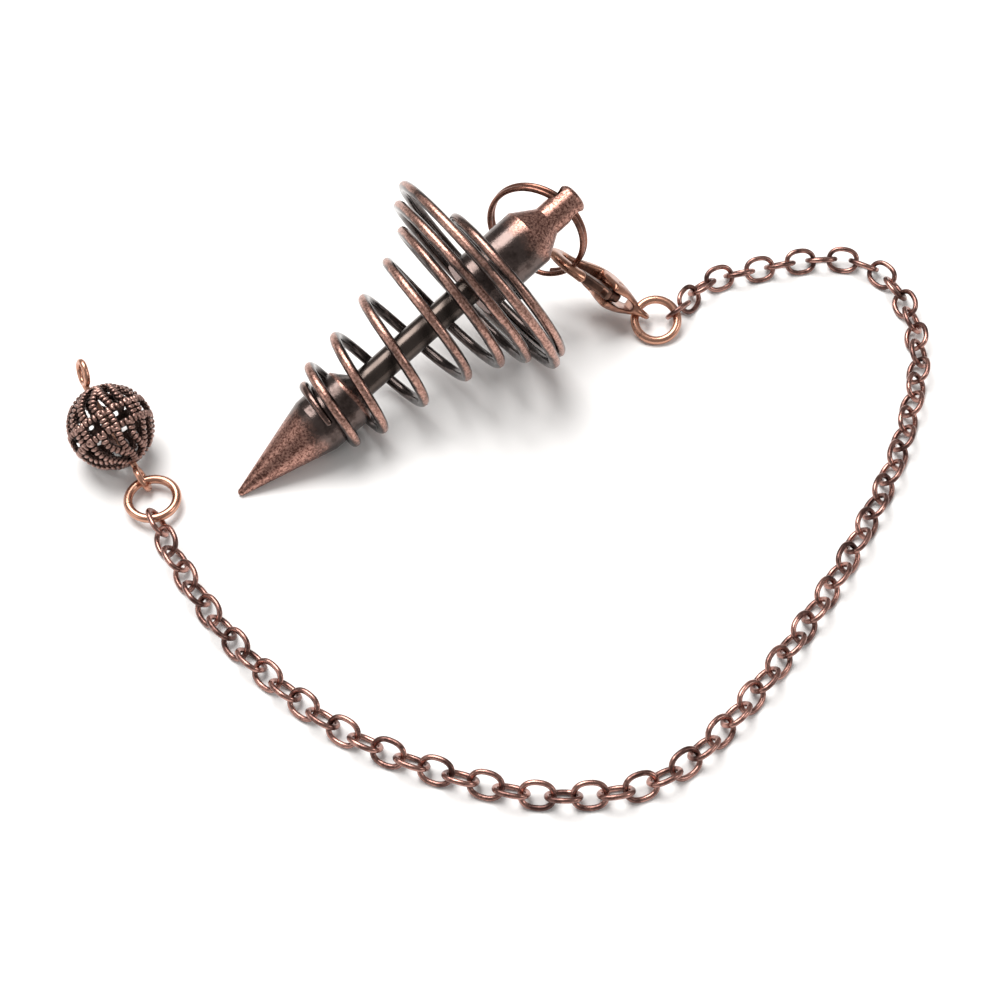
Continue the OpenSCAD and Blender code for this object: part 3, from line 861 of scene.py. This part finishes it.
@dataclass(frozen=True)
class SpindleLine:
    """The spindle's line and its main sizes.

    Attributes:
        point: Where the line starts, at the tip's point.
        azimuth: Direction of the line seen from above.
        rise: Its rise from the table.
        tip_d: Diameter of the tip's barrel.
        cap_d: Diameter of the cap.
        cap_at: Station of the cap's lower edge.
        cone_len: Length of the tip's cone.
    """

    point: np.ndarray
    azimuth: float = 38.3
    rise: float = 19.2739
    tip_d: float = 6.9
    cap_d: float = 7.05
    cap_at: float = 34.7
    cone_len: float = 11.6

    @classmethod
    def on_table(cls, x: float = -29.95, y: float = 1.75, point_r: float = 0.45) -> "SpindleLine":
        """The line of a spindle whose rounded point rests at a place on the table."""
        centre = vec(x, y, point_r)
        return cls(centre - point_r * cls(centre).axis)

    @property
    def axis(self) -> np.ndarray:
        """Direction from the point to the cap."""
        return heading(self.azimuth, self.rise)

    @property
    def stand(self) -> Stand:
        """The spindle's frame, with x down and z along the line."""
        return Stand.along(self.point, heading(self.azimuth, self.rise - 90), self.axis)


@dataclass
class Spindle:
    """The tip, the shaft and the cap, which keep their solids."""

    def build(self, nodes: dict[str, Object], shop: FinishShop) -> list[Object]:
        """Dresses the three turned pieces."""
        shop.dress(nodes["tip"], Finish.MOTTLED)
        shop.dress(nodes["cap"], Finish.MOTTLED)
        shop.dress(nodes["shaft"], Finish.ROD)
        return [nodes["tip"], nodes["cap"], nodes["shaft"]]


@dataclass
class SpiralWire:
    """The wire wound from the barrel out to the widest turn and back in to the cap.

    Attributes:
        line: The spindle that it winds on.
        wire: Diameter of the wire.
        widest: Outside diameter of the widest turn.
        wrap_gap: Gap between the wire and what its ends are wound on.
        foot: Distance of the first turn above the cone's base.
        head: Distance of the last turn above the cap's lower edge.
        start: Direction of the wire's start round the line.
        first: Half-turns that are cut off the wire's start.
        lean: Angle by which the turns lean from square to the line.
        lean_at: Direction in which they lean, round the line.
        thin_end: Thickness of the wire's start, as a share.
        thin_count: Points over which the start thickens.
        rows: Station and swell of each half-turn, as shares.
    """

    line: SpindleLine
    wire: float = 1.22
    widest: float = 28.2
    wrap_gap: float = 0.05
    foot: float = 1.0
    head: float = 4.2
    start: float = 302.0
    first: float = 5 / 12
    lean: float = 3.8
    lean_at: float = 48.0
    thin_end: float = 0.68
    thin_count: int = 14
    rows: tuple[Pair, ...] = (
        (0, 0), (0.032, 0), (0.042, 0.01), (0.103, 0.13), (0.168, 0.11), (0.27, 0.195), (0.374, 0.19),
        (0.468, 0.31), (0.587, 0.305), (0.647, 0.45), (0.732, 0.45), (0.783, 0.61), (0.834, 0.62),
        (0.843, 0.869), (0.912, 0.9), (0.913, 1), (0.968, 0.84), (0.987, 0.29), (1, 0),
    )

    def row(self, t: float) -> Pair:
        """Station and swell at a count of half-turns, on a smooth curve through the rows."""
        last = len(self.rows) - 1
        i = min(int(math.floor(t)), last - 1)
        u = t - i
        a, b, c, d = (np.array(self.rows[min(max(k, 0), last)], float) for k in (i - 1, i, i + 1, i + 2))
        value = 0.5 * (
            2 * b + (c - a) * u + (2 * a - 5 * b + 4 * c - d) * u**2 + (3 * b - a - 3 * c + d) * u**3
        )
        return min(1.0, max(0.0, float(value[0]))), max(0.0, float(value[1]))

    def path(self, steps: int = 22) -> np.ndarray:
        """The wire's middle line.

        Args:
            steps: Points in each half-turn.

        Returns:
            Its points in millimetres.
        """
        line = self.line
        bottom, top = line.cone_len + self.foot, line.cap_at + self.head
        inner = [d / 2 + self.wire / 2 + self.wrap_gap for d in (line.tip_d, line.cap_d)]
        outer = self.widest / 2 - self.wire / 2
        points = []
        for t in np.linspace(self.first, len(self.rows) - 1, int((len(self.rows) - 1) * steps)):
            share, swell = self.row(float(t))
            wrapped = inner[0] + (inner[1] - inner[0]) * share
            r = wrapped + (outer - wrapped) * swell
            turn = math.radians(self.start - 180 * t)
            lean = r * math.tan(math.radians(self.lean)) * math.cos(turn - math.radians(self.lean_at))
            points.append((r * math.cos(turn), r * math.sin(turn), bottom + (top - bottom) * share + lean))
        return line.stand.place(np.array(points))

    def build(self, shop: FinishShop) -> list[Object]:
        """Makes the wire and dresses it."""
        stock = MeshStock()
        path = self.path()
        thick = [self.thin_end + (1 - self.thin_end) * smooth(i / self.thin_count) for i in range(len(path))]
        stock.add_wire(path, self.wire / 2 * np.array(thick), sides=24)
        return [shop.dress(stock.piece("spiral_wire", BODY, "brushed_copper", "spiral"), Finish.WIRE)]


@dataclass
class SplitRing:
    """Two turns of wire side by side, through the post's cross hole.

    Attributes:
        line: The spindle whose post it hangs in.
        across: Diameter at the middle of the wire.
        wire: Diameter of the wire.
        gap: Gap between the two turns.
        swing: Angle by which it swings back.
        tip: Angle by which it tips in the hole.
        hole_station: Station of the cross hole.
        hole_angle: Direction of the cross hole round the line.
        step_at: Direction in the ring where the wire steps from one turn to the other.
        step_half: Half the angle over which it steps, and which its ends stop short.
    """

    line: SpindleLine
    across: float = 11.8
    wire: float = 0.64
    gap: float = 0.05
    swing: float = 53.7
    tip: float = 7.0
    hole_station: float = 49.4
    hole_angle: float = 308.0
    step_at: float = 150.0
    step_half: float = 22.0

    def build(self, shop: FinishShop) -> list[Object]:
        """Makes the ring and dresses it."""
        stock = MeshStock()
        stock.add_wire(self.path(), self.wire / 2, sides=20)
        return [shop.dress(stock.piece("split_ring_wire", BODY, "brushed_copper", "split_ring"), Finish.RING)]

    def path(self, sections: int = 220) -> np.ndarray:
        """The wire's middle line."""
        stand = self.line.stand
        around = math.radians(self.hole_angle)
        left = np.cross(stand.z, stand.x)
        out = math.cos(around) * stand.x + math.sin(around) * left
        side_dir = math.cos(around + math.pi / 2) * stand.x + math.sin(around + math.pi / 2) * left
        tip, swing = math.radians(self.tip), math.radians(self.swing)
        inward = math.cos(tip) * out + math.sin(tip) * stand.z
        side = unit(np.cross(np.cross(inward, side_dir), inward))
        down = math.sin(swing) * side + math.cos(swing) * np.cross(side, inward)
        r = self.across / 2
        at = self.line.point + self.hole_station * stand.z + r * down
        frame = Stand.along(at, -down, np.cross(inward, down))
        half, shift = self.step_half, (self.wire + self.gap) / 2
        points = []
        for turned in np.linspace(half, 720 - half, sections):
            angle = math.radians(self.step_at + turned)
            share = smooth((turned - 360 + half) / (2 * half))
            points.append((r * math.cos(angle), r * math.sin(angle), shift * (2 * share - 1)))
        return frame.place(np.array(points))


@dataclass
class LobsterClasp:
    """The clasp: its casting, the lever that closes its mouth, and the lever's pin.

    Attributes:
        at: Its crown's place in millimetres.
        along: Direction from the crown to the tail.
        gate: Direction towards the gate.
        length: Length of the casting.
        width: Width of its body.
        mouth_r: Radius of its mouth.
        crown: Thickness of its crown.
        lever_t: Thickness of the lever.
        slot_t: Width of the lever's slot.
        eye_r: Radius of the tail's eye.
        eye_hole_r: Radius of the hole in it.
        pin_r: Radius of the pin's hole.
        slot_end: Where the slot ends, from the crown.
        slot_end_t: Width of the slot at its end.
        waist: Half thickness of the casting at places along it.
        flank: Half width of the casting at places along it.
        nose: Distance of the nose's middle from the mouth's.
        nose_gap: Distance from there back to the nose's face.
        throat: Distance of the throat's end from the mouth's middle.
        rounding: How far the casting's edges are rounded.
        boss_r: Radius of the lever's boss.
        pin_run: Gap between the pin and the lever.
        cell: Size of the mesh's faces.
    """

    at: np.ndarray
    along: np.ndarray
    gate: np.ndarray
    length: float = 15.2
    width: float = 7.6
    mouth_r: float = 2.1
    crown: float = 1.8
    lever_t: float = 1.2
    slot_t: float = 1.4
    eye_r: float = 1.575
    eye_hole_r: float = 1.0
    pin_r: float = 0.37
    slot_end: float = 12.1
    slot_end_t: float = 0.8
    waist: tuple[Pair, ...] = (
        (0, 0.56), (2, 0.62), (4.2, 0.7), (5.4, 1.05), (6.9, 1.45), (8.5, 1.68), (10, 1.62), (11.2, 1.36),
        (12.2, 1.04), (13, 0.74), (13.6, 0.64), (15.2, 0.6),
    )
    flank: tuple[Pair, ...] = (
        (3.8, 3.8), (5.5, 3.72), (7.5, 3.45), (9.2, 2.9), (10.8, 2.28), (12.2, 1.72), (13.6, 1.5),
        (15.2, 1.0),
    )
    nose: float = 1.0
    nose_gap: float = 0.7
    throat: float = 3.6
    rounding: float = 1.1
    boss_r: float = 0.9
    pin_run: float = 0.04
    cell: float = 0.1

    @property
    def mouth_x(self) -> float:
        """Middle of the mouth, from the crown."""
        return self.crown + self.mouth_r

    @property
    def nose_x(self) -> float:
        """Middle of the nose, from the crown."""
        return self.mouth_x + self.nose

    @property
    def eye_x(self) -> float:
        """Middle of the tail's eye, from the crown."""
        return self.length - self.eye_r

    @property
    def pivot(self) -> Pair:
        """The pin's place."""
        return self.length - 5.8, 1.0

    @property
    def stand(self) -> Stand:
        """The clasp's frame."""
        return Stand.along(self.at, self.along, np.cross(self.along, self.gate))

    @staticmethod
    def curve(rows: Sequence[Pair], x: np.ndarray) -> np.ndarray:
        """A smooth curve through rows of place and value."""
        xs, ys = (np.array(v, float) for v in zip(*rows))
        slopes = np.gradient(ys, xs)
        i = np.clip(np.searchsorted(xs, x) - 1, 0, len(xs) - 2)
        step = xs[i + 1] - xs[i]
        u = np.clip((x - xs[i]) / step, 0, 1)
        rest = 1 - u
        value = (1 + 2 * u) * rest**2 * ys[i] + u * rest**2 * step * slopes[i]
        return value + u**2 * (3 - 2 * u) * ys[i + 1] - u**2 * rest * step * slopes[i + 1]

    def casting(self) -> tuple[np.ndarray, np.ndarray]:
        """The casting's surface in its own frame."""
        grid = FieldGrid((-0.3, -4.2, -2.0), (self.length + 0.3, 4.2, 2.0), self.cell)
        x, y, z = grid.axes()
        half = self.width / 2
        # The plan: a round front, flanks that taper to the tail, and the tail's eye
        front = np.hypot(x - half, y) - half
        side = 0.95 * (np.abs(y) - self.curve(self.flank, x))
        plan = np.where(x < half, front, side)
        plan = soft_min(plan, np.hypot(x - self.eye_x, y) - self.eye_r, 0.4)
        plan = np.where(x < self.eye_x, plan, np.hypot(x - self.eye_x, y) - self.eye_r)
        body = soft_max(plan, np.abs(z) - self.curve(self.waist, x), self.rounding)
        # The mouth, with its gap on the gate's side
        r, nose_x, throat_x = self.mouth_r, self.nose_x, self.mouth_x + self.throat
        face = nose_x - self.nose_gap
        mouth = np.hypot(x - self.mouth_x, y) - r
        trough = outline_field(
            [(self.mouth_x, 0.5 - r), (throat_x, 0.5 - r), (throat_x, r), (self.mouth_x, r)], x, y
        )
        gap = outline_field(
            [(face, 0), (face, r), (nose_x, half + 1), (throat_x + 1.4, half + 1), (throat_x, 0)], x, y
        )
        body = soft_max(body, -soft_min(soft_min(mouth, trough, 0.3), gap, 0.2), 0.4)
        # The slot, which narrows to the tail, and the holes
        narrowing = np.clip((x - self.pivot[0] - 1.2) / (self.slot_end - self.pivot[0] - 1.2), 0, 1)
        slot_half = (self.slot_t + (self.slot_end_t - self.slot_t) * narrowing) / 2
        slot = soft_max(self._slot_plan(x, y), np.abs(z) - slot_half, 0.2)
        body = soft_max(body, -slot, 0.3)
        body = soft_max(body, self.eye_hole_r - np.hypot(x - self.eye_x, y), 0.5)
        body = np.maximum(body, self.pin_r - np.hypot(x - self.pivot[0], y - self.pivot[1]))
        return grid.skin(body)

    def _slot_plan(self, x: np.ndarray, y: np.ndarray) -> np.ndarray:
        """The slot's field in plan: open on the gate's side, and right through behind the lever."""
        floor, behind, far = 0.6 - self.mouth_r, self.pivot[0] + 0.2, 6.0
        start, end = self.nose_x, self.slot_end
        open_side = outline_field([(start, floor), (end, floor), (end, far), (start, far)], x, y)
        through = outline_field([(behind, -far), (end, -far), (end, far), (behind, far)], x, y)
        return soft_min(open_side, through, 0.3)

    def lever(self) -> tuple[np.ndarray, np.ndarray]:
        """The lever's surface in the clasp's frame."""
        nose_x, half = self.nose_x, self.width / 2
        grid = FieldGrid((nose_x - 2, -1.5, -0.9), (self.pivot[0] + 1.4, half + 0.5, 0.9), self.cell * 0.6)
        x, y, z = grid.axes()
        top, under, tab = half - 0.9, self.mouth_r - 0.13, half + 0.1
        face = nose_x - self.nose_gap + 0.18
        boss, (pin_x, pin_y) = self.boss_r, self.pivot
        turn = math.radians(55)
        reach_x, reach_y = 0.95 * boss * math.cos(turn), 0.95 * boss * math.sin(turn)
        in_boss = [(pin_x + reach_x, pin_y + reach_y), (pin_x - reach_x, pin_y - reach_y)]
        # The bar: from the nose's face over the thumb tab to the boss, and back below
        slant = self.nose_gap / (half + 1 - self.mouth_r) * (top - under)
        bar = outline_field(
            [
                (nose_x - 1.05, under - 0.6), (nose_x - 1.05, under), (face, under), (face + slant, top),
                (nose_x + 2.2, tab - 0.7), (nose_x + 2.7, tab), (nose_x + 3.3, tab - 0.2),
                (nose_x + 3.7, top), *in_boss, (nose_x + 1.2, under - 1.1),
            ],
            x, y,
        )
        plan = soft_min(bar, np.hypot(x - pin_x, y - pin_y) - boss, 0.3)
        form = soft_max(plan, np.abs(z) - self.lever_t / 2, 0.45)
        form = np.maximum(form, self.pin_r + self.pin_run - np.hypot(x - pin_x, y - pin_y))
        return grid.skin(form)

    def build(self, nodes: dict[str, Object], shop: FinishShop) -> list[Object]:
        """Makes the casting and the lever, and dresses them and the pin."""
        pieces = []
        for name, form, body, slot, node, finish in (
            ("clasp_casting", self.casting(), BODY, "clasp_copper", "clasp_body", Finish.CLASP),
            ("clasp_gate", self.lever(), LEVER, "dark_copper", "clasp_lever", Finish.LEVER),
        ):
            stock = MeshStock()
            stock.add(self.stand.place(form[0]), form[1])
            pieces.append(shop.dress(stock.piece(name, body, slot, node), finish))
        return [*pieces, shop.dress(nodes["clasp_pin"], Finish.CLASP)]


@dataclass
class CableChain:
    """The cable chain: a smooth oval of wire in the place of each solid link.

    Attributes:
        wire: Diameter of a link's wire.
        fullness: How full an oval's corners are; 2 is a plain ellipse.
        sections: Points round a link.
        sides: Vertices round its wire.
        touch: Points nearer than this are of the same link.
    """

    wire: float = 0.6
    fullness: float = 2.35
    sections: int = 36
    sides: int = 12
    touch: float = 0.02

    def build(self, node: Object, shop: FinishShop) -> list[Object]:
        """Makes the links and dresses them."""
        stock = MeshStock()
        for link in self.solid_links(node.data):
            stock.add_wire(self.path(link), self.wire / 2, self.sides, closed=True)
        return [shop.dress(stock.piece("chain_links", BODY, "chain_copper", "chain"), Finish.CHAIN)]

    def solid_links(self, mesh: bpy.types.Mesh) -> list[np.ndarray]:
        """The points of each solid link.

        Args:
            mesh: The mesh of the solid chain, in metres.

        Returns:
            One array of points in millimetres for each link.
        """
        points = np.array([v.co[:] for v in mesh.vertices]) / MM
        joins = [np.array([e.vertices[:] for e in mesh.edges])]
        for shift in (0.0, 0.5):
            cells = np.floor(points / self.touch + shift).astype(int)
            _, first, same = np.unique(cells, axis=0, return_index=True, return_inverse=True)
            joins.append(np.stack([np.arange(len(points)), first[same.ravel()]], axis=1))
        a, b = np.vstack(joins).T
        owner = np.arange(len(points))
        while True:
            least = np.minimum(owner[a], owner[b])
            before = owner.copy()
            np.minimum.at(owner, a, least)
            np.minimum.at(owner, b, least)
            owner = owner[owner]
            if np.array_equal(owner, before):
                break
        return [points[owner == link] for link in np.unique(owner)]

    def path(self, link: np.ndarray) -> np.ndarray:
        """The middle line of a link's wire, from the solid link's points."""
        middle = link.mean(axis=0)
        axes = np.linalg.svd(link - middle, full_matrices=False)[2]
        spread = (link - middle) @ axes.T
        half = (spread.max(axis=0) - spread.min(axis=0)) / 2
        middle = middle + ((spread.max(axis=0) + spread.min(axis=0)) / 2) @ axes
        turns = full_turn(self.sections)
        along, across = (
            np.sign(f) * np.abs(f) ** (2 / self.fullness) for f in (np.cos(turns), np.sin(turns))
        )
        reach = half - half[2]
        return middle + reach[0] * along[:, None] * axes[0] + reach[1] * across[:, None] * axes[1]


@dataclass
class RoundWire:
    """The jump rings and the eye pin, which keep their solids."""

    def build(self, nodes: dict[str, Object], shop: FinishShop) -> list[Object]:
        """Dresses the three pieces."""
        return [shop.dress(nodes[name], Finish.JUMP) for name in ("clasp_ring", "ball_ring", "eye_pin")]


@dataclass
class FiligreeBall:
    """The hollow pierced ball: beaded strands over a thin web.

    Attributes:
        at: Its centre in millimetres.
        pin: Direction of the wire through it.
        across: Its outside diameter.
        strand: Diameter of a strand.
        collar_r: Radius of its collars.
        bands: Bands round each half.
        belt: Latitude of the two rings of the belt.
        paired: How near the belt's bridges stand in pairs.
        short_lat: Latitude where every other band ends.
        swirl: How far a band turns on its way up, in steps from band to band.
        bow: How far a band bows sideways, in the same steps.
        pace: Distance between the ribs of a strand.
        strap_w: Width of a strand's ribs.
        strap_r: Radius of the straps' middles.
        strap_half_t: Half a strap's thickness.
        rib_half_t: Half a rib's height.
        web_reach: How far the web reaches from a strand's middle, near the belt.
        web_top: Latitude where the web ends.
        web_t: Thickness of the web.
        web_depth: Depth of the web's outer side below the strands' middles.
        web_spread: How much further the web reaches by the collars.
        web_spread_at: Latitude from which it reaches further, and the angle until it does in full.
        strap_share: Half a strap's width, as a share of its ribs' width.
        collar_share: Half a collar's thickness, as a share of a strand's.
        rib_widths: Least width of a rib and the spread above it, as shares.
        rib_skew: How far the ribs' directions stray.
    """

    at: np.ndarray
    pin: np.ndarray
    across: float = 9.8
    strand: float = 0.75
    collar_r: float = 0.86
    bands: int = 16
    belt: float = 12.5
    paired: float = 0.45
    short_lat: float = 57.0
    swirl: float = 0.9
    bow: float = -0.55
    pace: float = 0.55
    strap_w: float = 0.96
    strap_r: float = 4.44
    strap_half_t: float = 0.2
    rib_half_t: float = 0.3
    web_reach: float = 0.4
    web_top: float = 79.0
    web_t: float = 0.22
    web_depth: float = 0.06
    web_spread: float = 0.25
    web_spread_at: Pair = (60, 18)
    strap_share: float = 0.42
    collar_share: float = 0.46
    rib_widths: Pair = (0.88, 0.24)
    rib_skew: float = 0.25

    @property
    def net_r(self) -> float:
        """Radius of the strands' middle lines."""
        return self.across / 2 - self.strand / 2

    @property
    def collar(self) -> float:
        """Latitude of the collars."""
        return math.degrees(math.acos(self.collar_r / self.net_r))

    def on_net(self, lon: float, lat: float) -> np.ndarray:
        """A place over the ball, in its own frame."""
        return self.net_r * heading(lon, lat)

    def strand_line(self, a: Pair, b: Pair, bow: float, count: int = 24) -> np.ndarray:
        """A strand's middle line between two places, bowed sideways."""
        share = np.linspace(0, 1, count)
        return np.array([
            self.on_net(a[0] + (b[0] - a[0]) * u + bow * math.sin(math.pi * u), a[1] + (b[1] - a[1]) * u)
            for u in share
        ])

    def lines(self) -> list[np.ndarray]:
        """Every strand's middle line, in the ball's frame."""
        step = 360 / self.bands
        made = [self.ring_line(self.belt), self.ring_line(-self.belt)]
        for k in range(self.bands):
            side = 1 if k % 2 else -1
            lon = step * (k - 0.5 * side * self.paired)
            made.append(self.strand_line((lon, -self.belt), (lon, self.belt), bow=0, count=12))
            for half in (-1, 1):
                top = half * (self.collar if k % 2 else self.short_lat)
                foot, head = step * (k + 0.25 * half), step * (k + 0.25 * half + self.swirl)
                made.append(self.strand_line((head, top), (foot, half * self.belt), self.bow * step))
        return made

    def ring_line(self, lat: float, count: int = 90) -> np.ndarray:
        """A closed line at one latitude."""
        return np.array([self.on_net(360 * k / count, lat) for k in range(count + 1)])

    def build(self, shop: FinishShop, eye_side: np.ndarray) -> list[Object]:
        """Makes the beaded strands and the web, and dresses them.

        Args:
            shop: The finishes.
            eye_side: The direction that the ball's x axis lies nearest to.

        Returns:
            The two pieces.
        """
        stand = Stand.along(self.at, eye_side, self.pin)
        chance = random.Random(7)
        lines = self.lines()
        beads = MeshStock()
        for line in lines:
            strap = stand.place(line * self.strap_r / self.net_r)
            beads.add_strap(strap, self.at, (self.strap_w * self.strap_share, self.strap_half_t))
            self._rib_line(beads, stand, line, chance)
        for half in (-1, 1):
            ring = self.ring_line(half * self.collar, count=40)[:-1]
            beads.add_wire(stand.place(ring), self.strand * self.collar_share, sides=10, closed=True)
        strands = beads.piece("ball_strands", BODY, "ball_copper", "filigree_ball")
        web = self._web(stand, lines).piece("ball_web", BODY, "ball_copper")
        return [shop.dress(piece, Finish.BALL) for piece in (strands, web)]

    def _rib_line(self, stock: MeshStock, stand: Stand, line: np.ndarray, chance: random.Random) -> None:
        """Sets rounded ribs across a strand, one after another.

        Args:
            stock: The stock to add them to.
            stand: The ball's frame.
            line: The strand's middle line, in the ball's frame.
            chance: The source of small differences.
        """
        steps = np.linalg.norm(np.diff(line, axis=0), axis=1)
        runs = np.concatenate([[0], np.cumsum(steps)])
        count = max(2, int(round(runs[-1] / self.pace)))
        least, spread = self.rib_widths
        for run in (np.arange(count) + 0.5) * runs[-1] / count:
            back, here, ahead = (
                np.array([np.interp(place, runs, line[:, i]) for i in range(3)])
                for place in (run - 0.1, run, run + 0.1)
            )
            grow = least + spread * chance.random()
            along = stand.place(ahead)[0] - stand.place(back)[0]
            out = unit(stand.place(here)[0] - self.at)
            stray = self.rib_skew * (chance.random() - 0.5) * np.linalg.norm(along)
            skew = unit(along + stray * np.cross(along, out))
            place = self.at + (self.across / 2 - self.rib_half_t) * out
            stock.add_bead(place, out, skew, (0.5 * self.pace, self.strap_w / 2 * grow, self.rib_half_t))

    def _web(self, stand: Stand, lines: list[np.ndarray]) -> MeshStock:
        """A thin sheet between strands that lie near each other, with both its faces and its rims."""
        every = np.vstack(lines)
        bm = bmesh.new()
        bmesh.ops.create_icosphere(bm, subdivisions=6, radius=1.0)
        middle = self.net_r - self.web_depth
        spread_from, spread_over = self.web_spread_at
        keep = []
        for face in bm.faces:
            c = unit(np.array(face.calc_center_median()))
            near = np.linalg.norm(every / self.net_r - c, axis=1).min() * self.net_r
            lat = abs(math.degrees(math.asin(c[2])))
            reach = self.web_reach + self.web_spread * smooth((lat - spread_from) / spread_over)
            if near < reach and lat < self.web_top:
                keep.append([v.index for v in face.verts])
        unit_points = np.array([v.co[:] for v in bm.verts])
        bm.free()
        used, places = np.unique(keep, return_inverse=True)
        faces = places.reshape(-1, 3).tolist()
        inner = len(used)
        edges = dict.fromkeys((a, b) for f in faces for a, b in zip(f, f[1:] + f[:1]))
        rims = [(a, b) for (a, b) in edges if (b, a) not in edges]
        outer_points = stand.place(unit_points[used] * middle)
        inner_points = stand.place(unit_points[used] * (middle - self.web_t))
        both = faces + [tuple(inner + i for i in reversed(f)) for f in faces]
        both += [(b, a, inner + a, inner + b) for a, b in rims]
        return MeshStock([np.vstack([outer_points, inner_points])], both)


@dataclass
class Studio:
    """The table, the lights and the camera.

    Attributes:
        target: What the camera looks at, in millimetres.
        elevation: The camera's height angle.
        distance: Its distance in millimetres.
        lens: Its focal length in millimetres.
        sensor: Width of its sensor in millimetres.
        lights: Name, place, size, power and colour of each light.
        table_half: Half the table's side in metres.
        table_colors: The two colours that cloud the table.
        table_clouds: Scale of the clouds on it.
        sky: The sky's colour.
        sky_power: The sky's strength.
    """

    target: Triple = (-1.0, 0.8, 0.0)
    elevation: float = 54.0
    distance: float = 205.0
    lens: float = 66.0
    sensor: float = 36.0
    lights: tuple[tuple[str, Triple, float, float, Triple], ...] = (
        ("soft_box", (-120, 160, 420), 340, 2.9, (1.0, 0.985, 0.97)),
        ("side_box", (330, -60, 240), 120, 0.25, (1.0, 0.98, 0.96)),
        ("low_box", (-320, -120, 160), 210, 0.15, (1.0, 0.98, 0.96)),
    )
    table_half: float = 3.0
    table_colors: tuple[Triple, Triple] = ((0.93, 0.925, 0.92), (0.95, 0.945, 0.94))
    table_clouds: float = 14.0
    sky: Triple = (1.0, 0.99, 0.98)
    sky_power: float = 0.36

    def build(self) -> list[Object]:
        """Makes the table, the lights, the sky and the camera."""
        scene = bpy.context.scene
        scene.view_settings.view_transform = "Standard"
        table = self._table()
        self._sky(scene)
        for row in self.lights:
            self._light(*row)
        self._camera(scene)
        return [table]

    def _table(self) -> Object:
        """The pale table."""
        mesh = bpy.data.meshes.new("table")
        half = self.table_half
        corners = [(-half, -half, 0), (half, -half, 0), (half, half, 0), (-half, half, 0)]
        mesh.from_pydata(corners, [], [(0, 1, 2, 3)])
        table = bpy.data.objects.new("table", mesh)
        bpy.context.scene.collection.objects.link(table)
        made = bpy.data.materials.new("pale table")
        made.use_nodes = True
        bench = Bench(made.node_tree)
        shader = made.node_tree.nodes["Principled BSDF"]
        color = bench.blend(bench.noise(bench.where(), self.table_clouds), *self.table_colors)
        bench.feed(shader.inputs["Base Color"], color)
        shader.inputs["Roughness"].default_value = 0.7
        shader.inputs["Specular IOR Level"].default_value = 0.25
        mesh.materials.append(made)
        return table

    def _sky(self, scene: bpy.types.Scene) -> None:
        """A plain pale sky."""
        world = bpy.data.worlds.new("studio")
        world.use_nodes = True
        sky = world.node_tree.nodes["Background"]
        sky.inputs["Color"].default_value = (*self.sky, 1)
        sky.inputs["Strength"].default_value = self.sky_power
        scene.world = world

    def _light(self, name: str, at: Triple, size: float, power: float, color: Triple) -> None:
        """A square soft light that points at the pendulum."""
        data = bpy.data.lights.new(name, "AREA")
        data.shape = "SQUARE"
        data.size = size * MM
        data.energy = power
        data.color = color
        light = bpy.data.objects.new(name, data)
        bpy.context.scene.collection.objects.link(light)
        light.location = Vector(at) * MM
        aim = Vector(self.target) * MM - light.location
        light.rotation_mode = "QUATERNION"
        light.rotation_quaternion = aim.to_track_quat("-Z", "Y")

    def _camera(self, scene: bpy.types.Scene) -> None:
        """The camera at the photo's angle."""
        data = bpy.data.cameras.new("camera")
        data.sensor_width = self.sensor
        data.lens = self.lens
        data.clip_start, data.clip_end = 0.01, 20.0
        camera = bpy.data.objects.new("camera", data)
        scene.collection.objects.link(camera)
        rise = math.radians(self.elevation)
        back = Vector((0.0, -math.cos(rise), math.sin(rise)))
        camera.location = (Vector(self.target) + back * self.distance) * MM
        camera.rotation_mode = "QUATERNION"
        camera.rotation_quaternion = (-back).to_track_quat("-Z", "Y")
        scene.camera = camera


def main() -> None:
    """Builds the pendulum piece by piece."""
    logging.basicConfig(level=logging.INFO, format="%(name)s: %(message)s")
    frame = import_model()
    nodes = frame["nodes"]
    line = SpindleLine.on_table()
    ball = FiligreeBall(at=vec(-44.5625, 7.46446, 4.9), pin=vec(-0.524078, 0.695476, 0.491585))
    shop = FinishShop(EffectShelf(), line, ball.at)
    studio = Studio()
    made = studio.build()
    made += Spindle().build(nodes, shop)
    made += SpiralWire(line).build(shop)
    made += SplitRing(line).build(shop)
    clasp = LobsterClasp(
        at=vec(4.51925, 29.6938, 9.82211),
        along=vec(0.800332, -0.170116, -0.574916),
        gate=vec(0.162339, -0.861597, 0.480933),
    )
    made += clasp.build(nodes, shop)
    made += CableChain().build(nodes["chain"], shop)
    made += RoundWire().build(nodes, shop)
    made += ball.build(shop, eye_side=heading(-90, studio.elevation))
    for piece in made:
        log.info("%s: %d faces", piece.name, len(piece.data.polygons))


if __name__ == "__main__":
    main()
